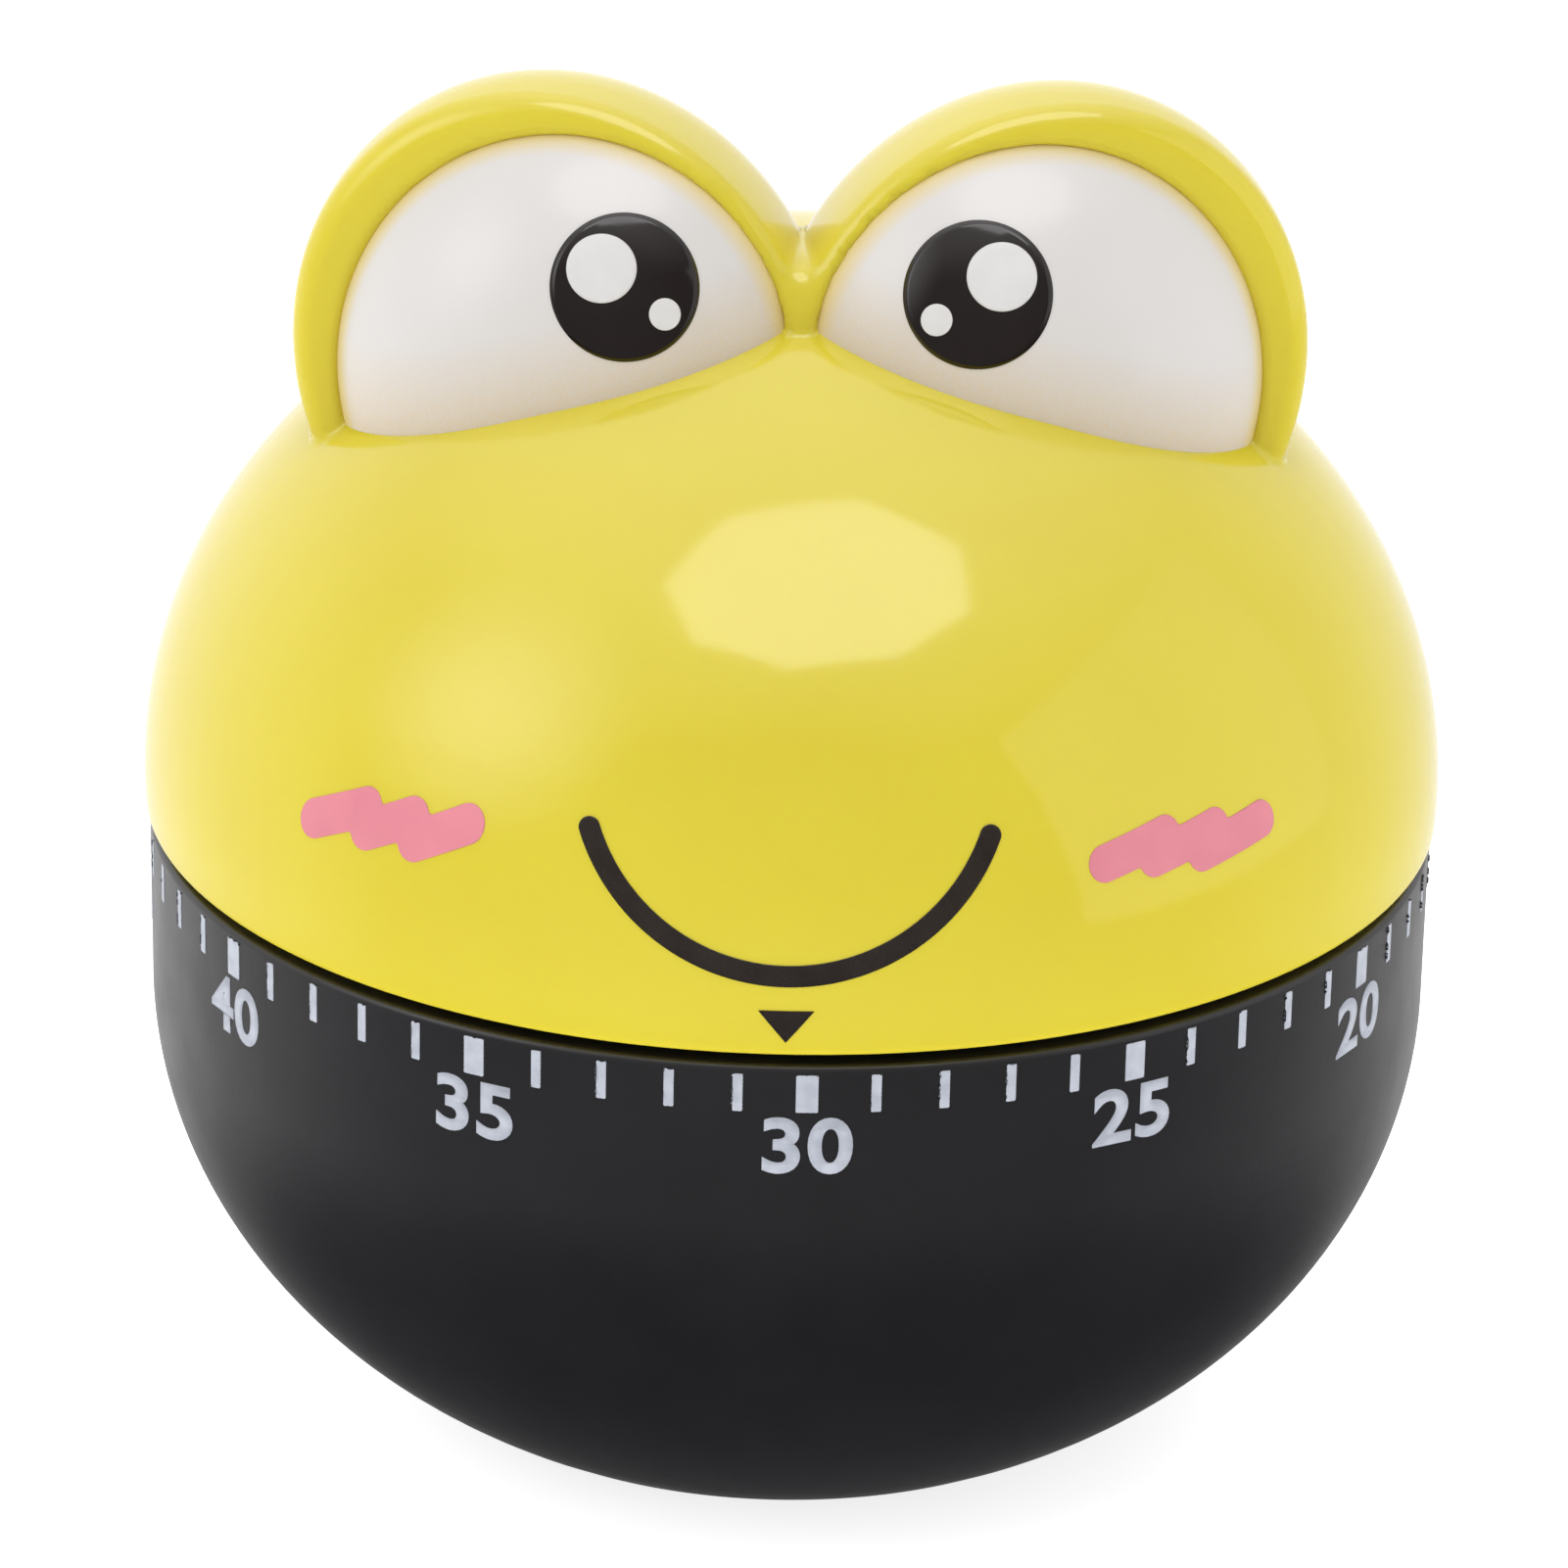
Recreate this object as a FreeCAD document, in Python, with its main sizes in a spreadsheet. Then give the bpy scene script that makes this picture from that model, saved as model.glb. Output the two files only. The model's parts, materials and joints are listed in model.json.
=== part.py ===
"""Wind-up kitchen timer with a frog's head, as an assembly of its separate pieces.

Millimetres, +Z up, origin at the centre of the flat bottom, face towards -Y.
The head turns on the bowl and winds a spring movement that strikes a bell.
"""
import FreeCAD, Part
import math
import os
import Sketcher

os.makedirs("parts", exist_ok=True)
doc = FreeCAD.newDocument("kitchen_timer")
V = FreeCAD.Vector

# Driving dimensions. Levels are heights above the flat bottom.
SIZES = {
    # black bowl: an elliptical belly under an almost straight collar
    "wall": 2.0,
    "bowl_radius": 32.47,
    "bowl_rise": 26.4,
    "bowl_level": 22.27,
    "top_radius": 32.6,
    "bowl_top": 30.65,
    "floor_top": 2.2,
    "post_radius": 3.2,
    "post_circle": 25.5,
    "post_hole": 1.1,
    # cover of the bowl with the neck that the head turns around
    "deck_bottom": 28.4,
    "deck_top": 30.2,
    "neck_outer": 30.2,
    "neck_inner": 28.6,
    "neck_top": 32.6,
    "deck_hole": 4.0,
    "boss_radius": 2.6,
    # yellow head: half an ellipsoid with two eye humps
    "rim_level": 31.27,
    "dome_radius": 32.94,
    "dome_rise": 27.36,
    "dome_level": 33.33,
    "eye_aside": 11.5,
    "eye_depth": 2.2,
    "eye_level": 56.1,
    "eye_long": 14.65,
    "eye_wide": 13.74,
    "eye_deep": 13.8,
    "eye_lean": 29.0,
    "lid_forward": 6.2,
    "lid_yaw": 11.5,
    "lid_tilt": 6.0,
    "opening_radius": 11.8,
    "opening_aside": 11.9,
    "opening_level": 56.5,
    "ball_radius": 13.8,
    "ball_back": 7.86,
    "socket_bottom": 33.4,
    "socket_radius": 4.6,
    "socket_depth": 12.0,
    "rib": 1.2,
    "rib_reach": 20.0,
    "rib_bottom": 38.0,
    # movement between two plates, hung under the cover
    "plate": 1.2,
    "plate_radius": 21.5,
    "lower_plate_level": 12.5,
    "upper_plate_level": 25.0,
    "pillar_radius": 2.0,
    "pillar_circle": 18.5,
    "hanger_circle": 17.5,
    "screw_radius": 1.0,
    "screw_head": 1.8,
    "head_thick": 1.0,
    "fit_gap": 0.05,
    # arbors
    "main_arbor": 2.5,
    "main_neck": 2.0,
    "main_pivot": 1.4,
    "arbor": 0.8,
    "pivot": 0.5,
    "end_shake": 0.2,
    "neck_flat": 1.2,
    "thread_deep": 5.0,
    "arbor_top": 44.0,
    # wheels and pinions
    "main_teeth": 60,
    "second_teeth": 56,
    "third_teeth": 48,
    "escape_teeth": 18,
    "leaves": 8,
    "tooth_bury": 0.3,
    "main_module": 0.45,
    "fine_module": 0.35,
    "main_thick": 1.2,
    "wheel_thick": 0.7,
    "pinion_thick": 1.6,
    "main_level": 20.9,
    "second_level": 23.3,
    "third_level": 19.8,
    "escape_level": 17.0,
    "escape_radius": 4.2,
    "escape_root": 3.3,
    # ratchet, click and strike cam on top of the main wheel
    "ratchet_level": 22.1,
    "ratchet_thick": 0.5,
    "ratchet_radius": 4.6,
    "ratchet_root": 4.0,
    "ratchet_teeth": 16,
    "cam_radius": 4.4,
    "cam_level": 22.8,
    "cam_thick": 1.2,
    "notch_deep": 1.0,
    "notch_half": 1.2,
    # mainspring strip
    "spring_level": 14.4,
    "spring_width": 4.8,
    "spring_strip": 0.25,
    "spring_inner": 3.2,
    "spring_outer": 12.4,
    "spring_turns": 9,
    "collet_radius": 2.9,
    "spring_post": 0.7,
    # escapement
    "anchor_reach": 7.1,
    "anchor_thick": 0.8,
    "anchor_gap": 0.3,
    "anchor_hub": 1.6,
    "anchor_half": 1.2,
    "anchor_arm": 0.7,
    "pin_spread": 40.0,
    "pin_radius": 0.35,
    "pin_distance": 5.25,
    "bar_level": 22.8,
    "bar_length": 9.4,
    "bar_width": 2.0,
    "bar_thick": 1.0,
    "bar_weight": 2.0,
    # hammer and bell
    "bell_radius": 13.5,
    "bell_wall": 0.8,
    "bell_bottom": 4.2,
    "bell_top": 10.4,
    "bell_corner": 2.5,
    "bell_post": 2.2,
    "hammer_circle": 17.2,
    "hammer_bearing": 255.0,
    "hammer_reach": 8.6,
    "hammer_circle_out": 16.2,
    "hammer_level": 8.0,
    "hammer_radius": 1.5,
    "hammer_tall": 3.2,
    "trip_level": 22.9,
    "trip_gap": 0.35,
    "hub": 1.5,
    "blade": 0.8,
    "blade_half": 1.4,
    "blade_tip": 0.8,
    "finger_taper": 1.2,
    "finger_half": 0.7,
    "finger_tip": 0.1,
    # flat return spring on the hammer staff
    "return_level": 14.0,
    "return_width": 1.2,
    "return_strip": 0.15,
    "return_inner": 1.0,
    "return_outer": 2.7,
    "return_turns": 4,
}

sheet = doc.addObject("Spreadsheet::Sheet", "dims")
for row, (alias, size) in enumerate(SIZES.items(), start=1):
    sheet.set(f"A{row}", alias)
    sheet.set(f"B{row}", str(size))
    sheet.setAlias(f"B{row}", alias)
doc.recompute()

parts = {}


def part(name, obj):
    """Labels an object as the sub-part of that name."""
    obj.Label = name
    parts[name] = obj
    return obj


def bind(obj, **expressions):
    """Ties an object's properties to expressions on the sheet."""
    for prop, expression in expressions.items():
        obj.setExpression(prop, expression)
    return obj


def size_of(expression):
    """The number that an expression on the sheet gives now."""
    return float(sheet.evalExpression(expression))


# ---- sketches and PartDesign bodies ----

def origin_feature(body, role):
    return next(f for f in body.Origin.OriginFeatures if f.Role == role)


def new_sketch(body, name, plane="XY_Plane", level="0"):
    sketch = body.newObject("Sketcher::SketchObject", name)
    sketch.AttachmentSupport = [(origin_feature(body, plane), "")]
    sketch.MapMode = "FlatFace"
    sketch.setExpression("AttachmentOffset.Base.z", level)
    return sketch


def tie_point(sketch, geometry, corner, x, y):
    """Fixes a point of the sketch at two expressions from its origin."""
    for kind, expression in (("DistanceX", x), ("DistanceY", y)):
        rule = Sketcher.Constraint(kind, -1, 1, geometry, corner, size_of(expression))
        index = sketch.addConstraint(rule)
        sketch.setExpression(f"Constraints[{index}]", expression)


def outline(sketch, points):
    """Draws a closed polygon through points given as pairs of expressions."""
    places = [V(size_of(x), size_of(y), 0) for x, y in points]
    first = sketch.GeometryCount
    count = len(points)
    for i in range(count):
        sketch.addGeometry(Part.LineSegment(places[i], places[(i + 1) % count]))
    for i in range(count):
        joint = Sketcher.Constraint("Coincident", first + i, 2, first + (i + 1) % count, 1)
        sketch.addConstraint(joint)
    for i, (x, y) in enumerate(points):
        tie_point(sketch, first + i, 1, x, y)


def ring(sketch, radius, x="0", y="0"):
    """Draws a circle with a radius and a centre given as expressions."""
    centre = V(size_of(x), size_of(y), 0)
    index = sketch.addGeometry(Part.Circle(centre, V(0, 0, 1), size_of(radius)))
    rule = sketch.addConstraint(Sketcher.Constraint("Radius", index, size_of(radius)))
    sketch.setExpression(f"Constraints[{rule}]", radius)
    tie_point(sketch, index, 3, x, y)


def new_body(name, x=0.0, y=0.0, turn=0.0):
    body = doc.addObject("PartDesign::Body", name)
    body.Placement = FreeCAD.Placement(V(x, y, 0), FreeCAD.Rotation(V(0, 0, 1), turn))
    return body


def pad(body, sketch, thickness):
    return bind(body.newObject("PartDesign::Pad", f"{sketch.Name}_pad"), Length=thickness)


def pad_of(body, name, level, thickness, draw):
    """Adds a plate of the given thickness, drawn by a function on its sketch."""
    sketch = new_sketch(body, f"{name}_sketch", level=level)
    draw(sketch)
    feature = pad(body, sketch, thickness)
    feature.Profile = sketch
    return feature


def turned(name, profile, x=0.0, y=0.0):
    """A piece turned about its own vertical axis from (radius, level) pairs."""
    body = new_body(name, x, y)
    sketch = new_sketch(body, f"{name}_profile", plane="XZ_Plane")
    outline(sketch, profile)
    spin = body.newObject("PartDesign::Revolution", f"{name}_turn")
    spin.Profile = sketch
    spin.ReferenceAxis = (sketch, ["V_Axis"])
    spin.Angle = 360
    return body


def group(name, pieces):
    """Several equal solids that make one sub-part."""
    compound = doc.addObject("Part::Compound", name)
    compound.Links = pieces
    return part(name, compound)


def around(radius, bearing):
    """Place at a distance from the main axis, bearing in degrees from +X."""
    turn = math.radians(bearing)
    return radius * math.cos(turn), radius * math.sin(turn)


# ---- Part primitives and booleans ----

def primitive(kind, name, placement=None, **expressions):
    obj = doc.addObject(f"Part::{kind}", name)
    if placement:
        obj.Placement = placement
    return bind(obj, **expressions)


def cylinder(name, radius, level, height, x=0.0, y=0.0):
    place = FreeCAD.Placement(V(x, y, size_of(level)), FreeCAD.Rotation())
    return primitive("Cylinder", name, place, Radius=radius, Height=height)


def cut(name, base, tool):
    obj = doc.addObject("Part::Cut", name)
    obj.Base = base
    obj.Tool = tool
    return obj


def common(name, base, tool):
    obj = doc.addObject("Part::Common", name)
    obj.Base = base
    obj.Tool = tool
    return obj


def fuse(name, *shapes):
    obj = doc.addObject("Part::MultiFuse", name)
    obj.Shapes = list(shapes)
    return obj


def half_ellipsoid(name, radius, rise, level, lower):
    """Lower or upper half of an ellipsoid of revolution centred on the main axis."""
    obj = primitive("Ellipsoid", name, Radius1=rise, Radius2=radius, Radius3=radius)
    obj.Angle1 = -90 if lower else 0
    obj.Angle2 = 0 if lower else 90
    obj.Placement.Base = V(0, 0, size_of(level))
    return obj


# ---- bowl ----

POST_BEARINGS = (90, 210, 330)


def bowl_form(name, inset, bottom):
    """Solid form of the bowl, taken in by an inset and cut flat at a level."""
    belly = half_ellipsoid(f"{name}_belly", f"dims.bowl_radius - {inset}",
                           f"dims.bowl_rise - {inset}", "dims.bowl_level", lower=True)
    above = cylinder(f"{name}_above", "2 * dims.bowl_radius", bottom, "dims.bowl_top")
    flat = common(f"{name}_flat", belly, above)
    place = FreeCAD.Placement(V(0, 0, size_of("dims.bowl_level")), FreeCAD.Rotation())
    collar = primitive("Cone", f"{name}_collar", place, Radius1=f"dims.bowl_radius - {inset}",
                       Radius2=f"dims.top_radius - {inset}", Height="dims.bowl_top - dims.bowl_level")
    return fuse(f"{name}_form", flat, collar)


def make_bowl():
    outer = bowl_form("bowl_outer", "0", "0")
    shell = cut("bowl_shell", outer, bowl_form("bowl_inner", "dims.wall", "dims.floor_top"))
    posts = []
    holes = []
    for i, bearing in enumerate(POST_BEARINGS):
        x, y = around(SIZES["post_circle"], bearing)
        posts.append(cylinder(f"post_{i}", "dims.post_radius", "dims.floor_top / 2",
                              "dims.deck_bottom - dims.floor_top / 2", x, y))
        holes.append(cylinder(f"post_hole_{i}", "dims.post_hole", "dims.deck_bottom - 9", "10", x, y))
    inside = common("posts_inside", fuse("posts", *posts), bowl_form("bowl_clip", "0", "0"))
    return part("base_bowl", cut("base_bowl", fuse("bowl_posts", shell, inside), fuse("post_holes", *holes)))


# ---- cover of the bowl ----

HANGER_BEARINGS = (62, 165, 275)


def make_deck():
    """Disc that closes the bowl, with the neck around its edge and three hanger bosses."""
    body = turned("deck_cover", [
        ("dims.deck_hole", "dims.deck_bottom"),
        ("dims.top_radius - dims.wall - 0.2", "dims.deck_bottom"),
        ("dims.top_radius - dims.wall - 0.2", "dims.deck_top"),
        ("dims.neck_outer", "dims.deck_top"),
        ("dims.neck_outer", "dims.neck_top"),
        ("dims.neck_inner", "dims.neck_top"),
        ("dims.neck_inner", "dims.deck_top"),
        ("dims.deck_hole", "dims.deck_top"),
    ])
    bosses = []
    for i, bearing in enumerate(HANGER_BEARINGS):
        x, y = around(SIZES["hanger_circle"], bearing)
        bosses.append(cylinder(f"hanger_{i}", "dims.boss_radius", "dims.upper_plate_level + dims.plate",
                               "dims.deck_bottom - dims.upper_plate_level - dims.plate + 0.5", x, y))
    holes = []
    for i, bearing in enumerate(HANGER_BEARINGS):
        x, y = around(SIZES["hanger_circle"], bearing)
        holes.append(cylinder(f"hanger_hole_{i}", "dims.screw_radius + dims.fit_gap",
                              "dims.upper_plate_level", "4.2", x, y))
    for i, bearing in enumerate(POST_BEARINGS):
        x, y = around(SIZES["post_circle"], bearing)
        holes.append(cylinder(f"deck_screw_hole_{i}", "dims.post_hole", "dims.deck_bottom - 1", "4", x, y))
    solid = fuse("deck_solid", body, *bosses)
    return part("deck_cover", cut("deck_cut", solid, fuse("deck_holes", *holes)))


# ---- fasteners ----

def screw(name, x, y, head_bottom, head_up, shank_length):
    """Pan head screw on a vertical axis; head_up says which way its head points."""
    side = "1" if head_up else "-1"
    seat = f"({head_bottom})"
    return turned(name, [
        ("0", f"{seat} + {side} * dims.head_thick"),
        ("dims.screw_head * 0.7", f"{seat} + {side} * dims.head_thick"),
        ("dims.screw_head", f"{seat} + {side} * dims.head_thick * 0.5"),
        ("dims.screw_head", seat),
        ("dims.screw_radius", seat),
        ("dims.screw_radius", f"{seat} - {side} * ({shank_length})"),
        ("0", f"{seat} - {side} * ({shank_length})"),
    ], x, y)


def screw_ring(name, circle, bearings, seat, head_up, shank_length):
    screws = []
    for i, bearing in enumerate(bearings):
        x, y = around(SIZES[circle], bearing)
        screws.append(screw(f"{name}_{i}", x, y, seat, head_up, shank_length))
    return group(name, screws)


# ---- train layout ----

def gear_distance(teeth, module):
    return (SIZES[teeth] + SIZES["leaves"]) * SIZES[module] / 2


def beyond(circle, previous, distance):
    """Place on a circle round the main axis, at a distance from the previous arbor."""
    reach = math.hypot(*previous)
    bearing = math.atan2(previous[1], previous[0])
    cosine = (circle ** 2 + reach ** 2 - distance ** 2) / (2 * circle * reach)
    return around(circle, math.degrees(bearing + math.acos(cosine)))


MAIN = (0.0, 0.0)
SECOND = (gear_distance("main_teeth", "main_module"), 0.0)
THIRD = beyond(17.5, SECOND, gear_distance("second_teeth", "fine_module"))
ESCAPE = beyond(18.8, THIRD, gear_distance("third_teeth", "fine_module"))
ANCHOR = beyond(19.0, ESCAPE, SIZES["anchor_reach"])
HAMMER = around(SIZES["hammer_circle"], SIZES["hammer_bearing"])
PILLAR_BEARINGS = (125, 205, 300)


def bearing_of(start, end):
    return math.degrees(math.atan2(end[1] - start[1], end[0] - start[0]))


def meshed_turn(wheel_turn, wheel_teeth, bearing):
    """Turn of a pinion that puts it in mesh with a wheel at the given bearing."""
    wheel_pitch = 360 / SIZES[wheel_teeth]
    leaf_pitch = 360 / SIZES["leaves"]
    share = 0.5 - (bearing - wheel_turn) / wheel_pitch
    return bearing + 180 - leaf_pitch * share


# ---- wheels and pinions ----

def teeth(body, name, count, level, thickness, points):
    """Adds one tooth along +X and repeats it round the body's axis."""
    tooth = pad_of(body, f"{name}_tooth", level, thickness, lambda sketch: outline(sketch, points))
    pattern = body.newObject("PartDesign::PolarPattern", f"{name}_teeth")
    pattern.Originals = [tooth]
    pattern.Axis = (origin_feature(body, "Z_Axis"), [""])
    pattern.Angle = 360
    bind(pattern, Occurrences=count)
    body.Tip = pattern
    return pattern


def tooth_points(pitch_radius, module, addendum, dedendum, tip, pitch, root):
    """Half outline widths are shares of the tooth pitch."""
    width = f"pi * {module}"
    inner = f"{pitch_radius} - {dedendum} * {module} - dims.tooth_bury"
    outer = f"{pitch_radius} + {addendum} * {module}"
    return [
        (inner, f"-{root} * {width}"),
        (pitch_radius, f"-{pitch} * {width}"),
        (outer, f"-{tip} * {width}"),
        (outer, f"{tip} * {width}"),
        (pitch_radius, f"{pitch} * {width}"),
        (inner, f"{root} * {width}"),
    ]


def windows(sketch, inner, outer, count):
    """Draws round lightening holes between the hub and the rim of a wheel."""
    for i in range(count):
        turn = 360 * (i + 0.5) / count
        middle = f"({outer} + {inner}) / 2"
        ring(sketch, f"({outer} - ({inner})) * 0.42", f"{middle} * cos({turn})", f"{middle} * sin({turn})")


def wheel(name, place, turn, teeth_alias, module, level, thickness, bore, holes):
    """Spur wheel with slim straight-sided teeth and round windows."""
    module = f"dims.{module}"
    count = f"dims.{teeth_alias}"
    pitch_radius = f"{count} * {module} / 2"
    body = new_body(name, *place, turn)

    def disc(sketch):
        ring(sketch, f"{pitch_radius} - 1.2 * {module}")
        ring(sketch, bore)
        windows(sketch, f"{bore} + 1.2", f"{pitch_radius} - 2.6 * {module}", holes)

    pad_of(body, name, level, thickness, disc)
    teeth(body, name, count, level, thickness,
          tooth_points(pitch_radius, module, 0.95, 1.2, 0.10, 0.20, 0.23))
    return part(name, body)


def pinion(name, place, turn, module, level):
    """Pinion of eight leaves in one piece with its arbor and pivots."""
    module = f"dims.{module}"
    pitch_radius = f"dims.leaves * {module} / 2"
    body = turned(name, [
        ("0", "dims.lower_plate_level"),
        ("dims.pivot", "dims.lower_plate_level"),
        ("dims.pivot", "dims.lower_plate_level + dims.plate + dims.end_shake"),
        ("dims.arbor", "dims.lower_plate_level + dims.plate + dims.end_shake"),
        ("dims.arbor", "dims.upper_plate_level - dims.end_shake"),
        ("dims.pivot", "dims.upper_plate_level - dims.end_shake"),
        ("dims.pivot", "dims.upper_plate_level + dims.plate"),
        ("0", "dims.upper_plate_level + dims.plate"),
    ], *place)
    body.Placement.Rotation = FreeCAD.Rotation(V(0, 0, 1), turn)
    pad_of(body, name, level, "dims.pinion_thick",
           lambda sketch: ring(sketch, f"{pitch_radius} - 1.3 * {module}"))
    teeth(body, name, "dims.leaves", level, "dims.pinion_thick",
          tooth_points(pitch_radius, module, 0.6, 1.3, 0.08, 0.15, 0.17))
    return part(name, body)


def saw_wheel(name, place, turn, count, tip, root, level, thickness, bore):
    """Wheel with raked teeth, for the ratchet and the escapement."""
    body = new_body(name, *place, turn)

    def disc(sketch):
        ring(sketch, root)
        ring(sketch, bore)

    pad_of(body, name, level, thickness, disc)
    step = f"2 * pi * {root} / {count}"
    teeth(body, name, count, level, thickness, [
        (f"{root} - 0.25", f"-0.30 * {step}"),
        (tip, "-0.06"),
        (tip, "0.06"),
        (f"{root} - 0.25", f"0.10 * {step}"),
    ])
    return part(name, body)


def make_train():
    main_turn = 0.0
    wheel("main_wheel", MAIN, main_turn, "main_teeth", "main_module", "dims.main_level",
          "dims.main_thick", "dims.main_arbor + dims.fit_gap", 5)
    second_turn = meshed_turn(main_turn, "main_teeth", bearing_of(MAIN, SECOND))
    pinion("second_pinion", SECOND, second_turn, "main_module", "dims.main_level - 0.2")
    wheel("second_wheel", SECOND, 0.0, "second_teeth", "fine_module", "dims.second_level",
          "dims.wheel_thick", "dims.arbor + dims.fit_gap", 5)
    third_turn = meshed_turn(0.0, "second_teeth", bearing_of(SECOND, THIRD))
    pinion("third_pinion", THIRD, third_turn, "fine_module", "dims.second_level - 0.4")
    wheel("third_wheel", THIRD, 0.0, "third_teeth", "fine_module", "dims.third_level",
          "dims.wheel_thick", "dims.arbor + dims.fit_gap", 5)
    escape_turn = meshed_turn(0.0, "third_teeth", bearing_of(THIRD, ESCAPE))
    pinion("escape_pinion", ESCAPE, escape_turn, "fine_module", "dims.third_level - 0.4")
    saw_wheel("escape_wheel", ESCAPE, 0.0, "dims.escape_teeth", "dims.escape_radius", "dims.escape_root",
              "dims.escape_level", "dims.wheel_thick", "dims.arbor + dims.fit_gap")
    saw_wheel("ratchet_wheel", MAIN, 0.0, "dims.ratchet_teeth", "dims.ratchet_radius", "dims.ratchet_root",
              "dims.ratchet_level", "dims.ratchet_thick", "dims.main_arbor + dims.fit_gap")


# ---- plates ----

def plate(name, level, holes):
    """Round brass plate with pivot and screw holes at (place, radius)."""
    body = new_body(name)

    def draw(sketch):
        ring(sketch, "dims.plate_radius")
        for (x, y), radius in holes:
            ring(sketch, radius, str(round(x, 4)), str(round(y, 4)))

    pad_of(body, name, level, "dims.plate", draw)
    return part(name, body)


def make_plates():
    pivots = [(place, "dims.pivot + dims.fit_gap") for place in (SECOND, THIRD, ESCAPE, ANCHOR)]
    hammer = [(HAMMER, "dims.arbor + dims.fit_gap")]
    pillars = [(around(SIZES["pillar_circle"], b), "dims.screw_radius + dims.fit_gap")
               for b in PILLAR_BEARINGS]
    hangers = [(around(SIZES["hanger_circle"], b), "dims.screw_radius + dims.fit_gap")
               for b in HANGER_BEARINGS]
    plate("lower_plate", "dims.lower_plate_level",
          [(MAIN, "dims.main_pivot + dims.fit_gap")] + pivots + hammer)
    plate("upper_plate", "dims.upper_plate_level",
          [(MAIN, "dims.main_neck + dims.fit_gap")] + pivots + hammer + pillars + hangers)
    posts = []
    for i, bearing in enumerate(PILLAR_BEARINGS):
        posts.append(turned(f"pillar_{i}", [
            ("0", "dims.lower_plate_level + dims.plate"),
            ("dims.pillar_radius", "dims.lower_plate_level + dims.plate"),
            ("dims.pillar_radius", "dims.upper_plate_level"),
            ("dims.screw_radius + dims.fit_gap", "dims.upper_plate_level"),
            ("dims.screw_radius + dims.fit_gap", "dims.upper_plate_level - dims.thread_deep"),
            ("0", "dims.upper_plate_level - dims.thread_deep"),
        ], *around(SIZES["pillar_circle"], bearing)))
    group("plate_pillars", posts)


# ---- head ----

def lid_frame(side):
    """Placement on the front of an eye hump whose local +Z looks out of the eye."""
    yaw = FreeCAD.Rotation(V(0, 0, 1), side * SIZES["lid_yaw"])
    tilt = FreeCAD.Rotation(V(1, 0, 0), 90 - SIZES["lid_tilt"])
    centre = V(side * SIZES["opening_aside"], -SIZES["lid_forward"], SIZES["opening_level"])
    return FreeCAD.Placement(centre, yaw.multiply(tilt))


def along(frame, distance):
    """The frame moved along its own +Z."""
    return FreeCAD.Placement(frame.multVec(V(0, 0, distance)), frame.Rotation)


def eye_pieces(name, side, inset, lid_back, reach):
    """Hump with a flat front, and the eyeball that bulges out of it, both taken in by an inset."""
    frame = lid_frame(side)
    lean = FreeCAD.Rotation(V(0, 1, 0), side * SIZES["eye_lean"])
    centre = V(side * SIZES["eye_aside"], -SIZES["eye_depth"], SIZES["eye_level"])
    hump = primitive("Ellipsoid", f"{name}_hump", FreeCAD.Placement(centre, lean),
                     Radius1=f"dims.eye_long - {inset}", Radius2=f"dims.eye_wide - {inset}",
                     Radius3=f"dims.eye_deep - {inset}")
    hump.Angle1 = -90
    hump.Angle2 = 90
    front = primitive("Cylinder", f"{name}_front", along(frame, -lid_back),
                      Radius="2 * dims.eye_long", Height="2 * dims.eye_deep")
    well = primitive("Cylinder", f"{name}_well", along(frame, -reach),
                     Radius=f"dims.opening_radius - {inset}", Height=f"{reach} + dims.eye_deep")
    ball = primitive("Sphere", f"{name}_ball", along(frame, -SIZES["ball_back"]),
                     Radius=f"dims.ball_radius - {inset}")
    flat = cut(f"{name}_flat", hump, front)
    return flat, common(f"{name}_cap", ball, well), well


def dome_form(name, inset, bottom):
    """Upper part of the dome above a level, taken in by an inset."""
    whole = primitive("Ellipsoid", f"{name}_whole", Radius1=f"dims.dome_rise - {inset}",
                      Radius2=f"dims.dome_radius - {inset}", Radius3=f"dims.dome_radius - {inset}")
    whole.Angle1 = -90
    whole.Angle2 = 90
    whole.Placement.Base = V(0, 0, SIZES["dome_level"])
    above = cylinder(f"{name}_above", "2 * dims.dome_radius", bottom, "2 * dims.dome_rise")
    return common(f"{name}_dome", whole, above)


def head_outside(name):
    pieces = [dome_form(name, "0", "dims.rim_level")]
    for side in (-1, 1):
        eye = f"{name}_{'left' if side < 0 else 'right'}"
        flat, cap, well = eye_pieces(eye, side, "0", 0.0, 3.0)
        pieces += [cut(f"{eye}_lid", flat, well), cap]
    return fuse(f"{name}_form", *pieces)


def head_inside(name):
    pieces = [dome_form(name, "dims.wall", "dims.rim_level - 1")]
    for side in (-1, 1):
        eye = f"{name}_{'left' if side < 0 else 'right'}"
        flat, cap, well = eye_pieces(eye, side, "dims.wall", 3.2, 8.0)
        pieces += [flat, cap]
    return fuse(f"{name}_form", *pieces)


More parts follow.
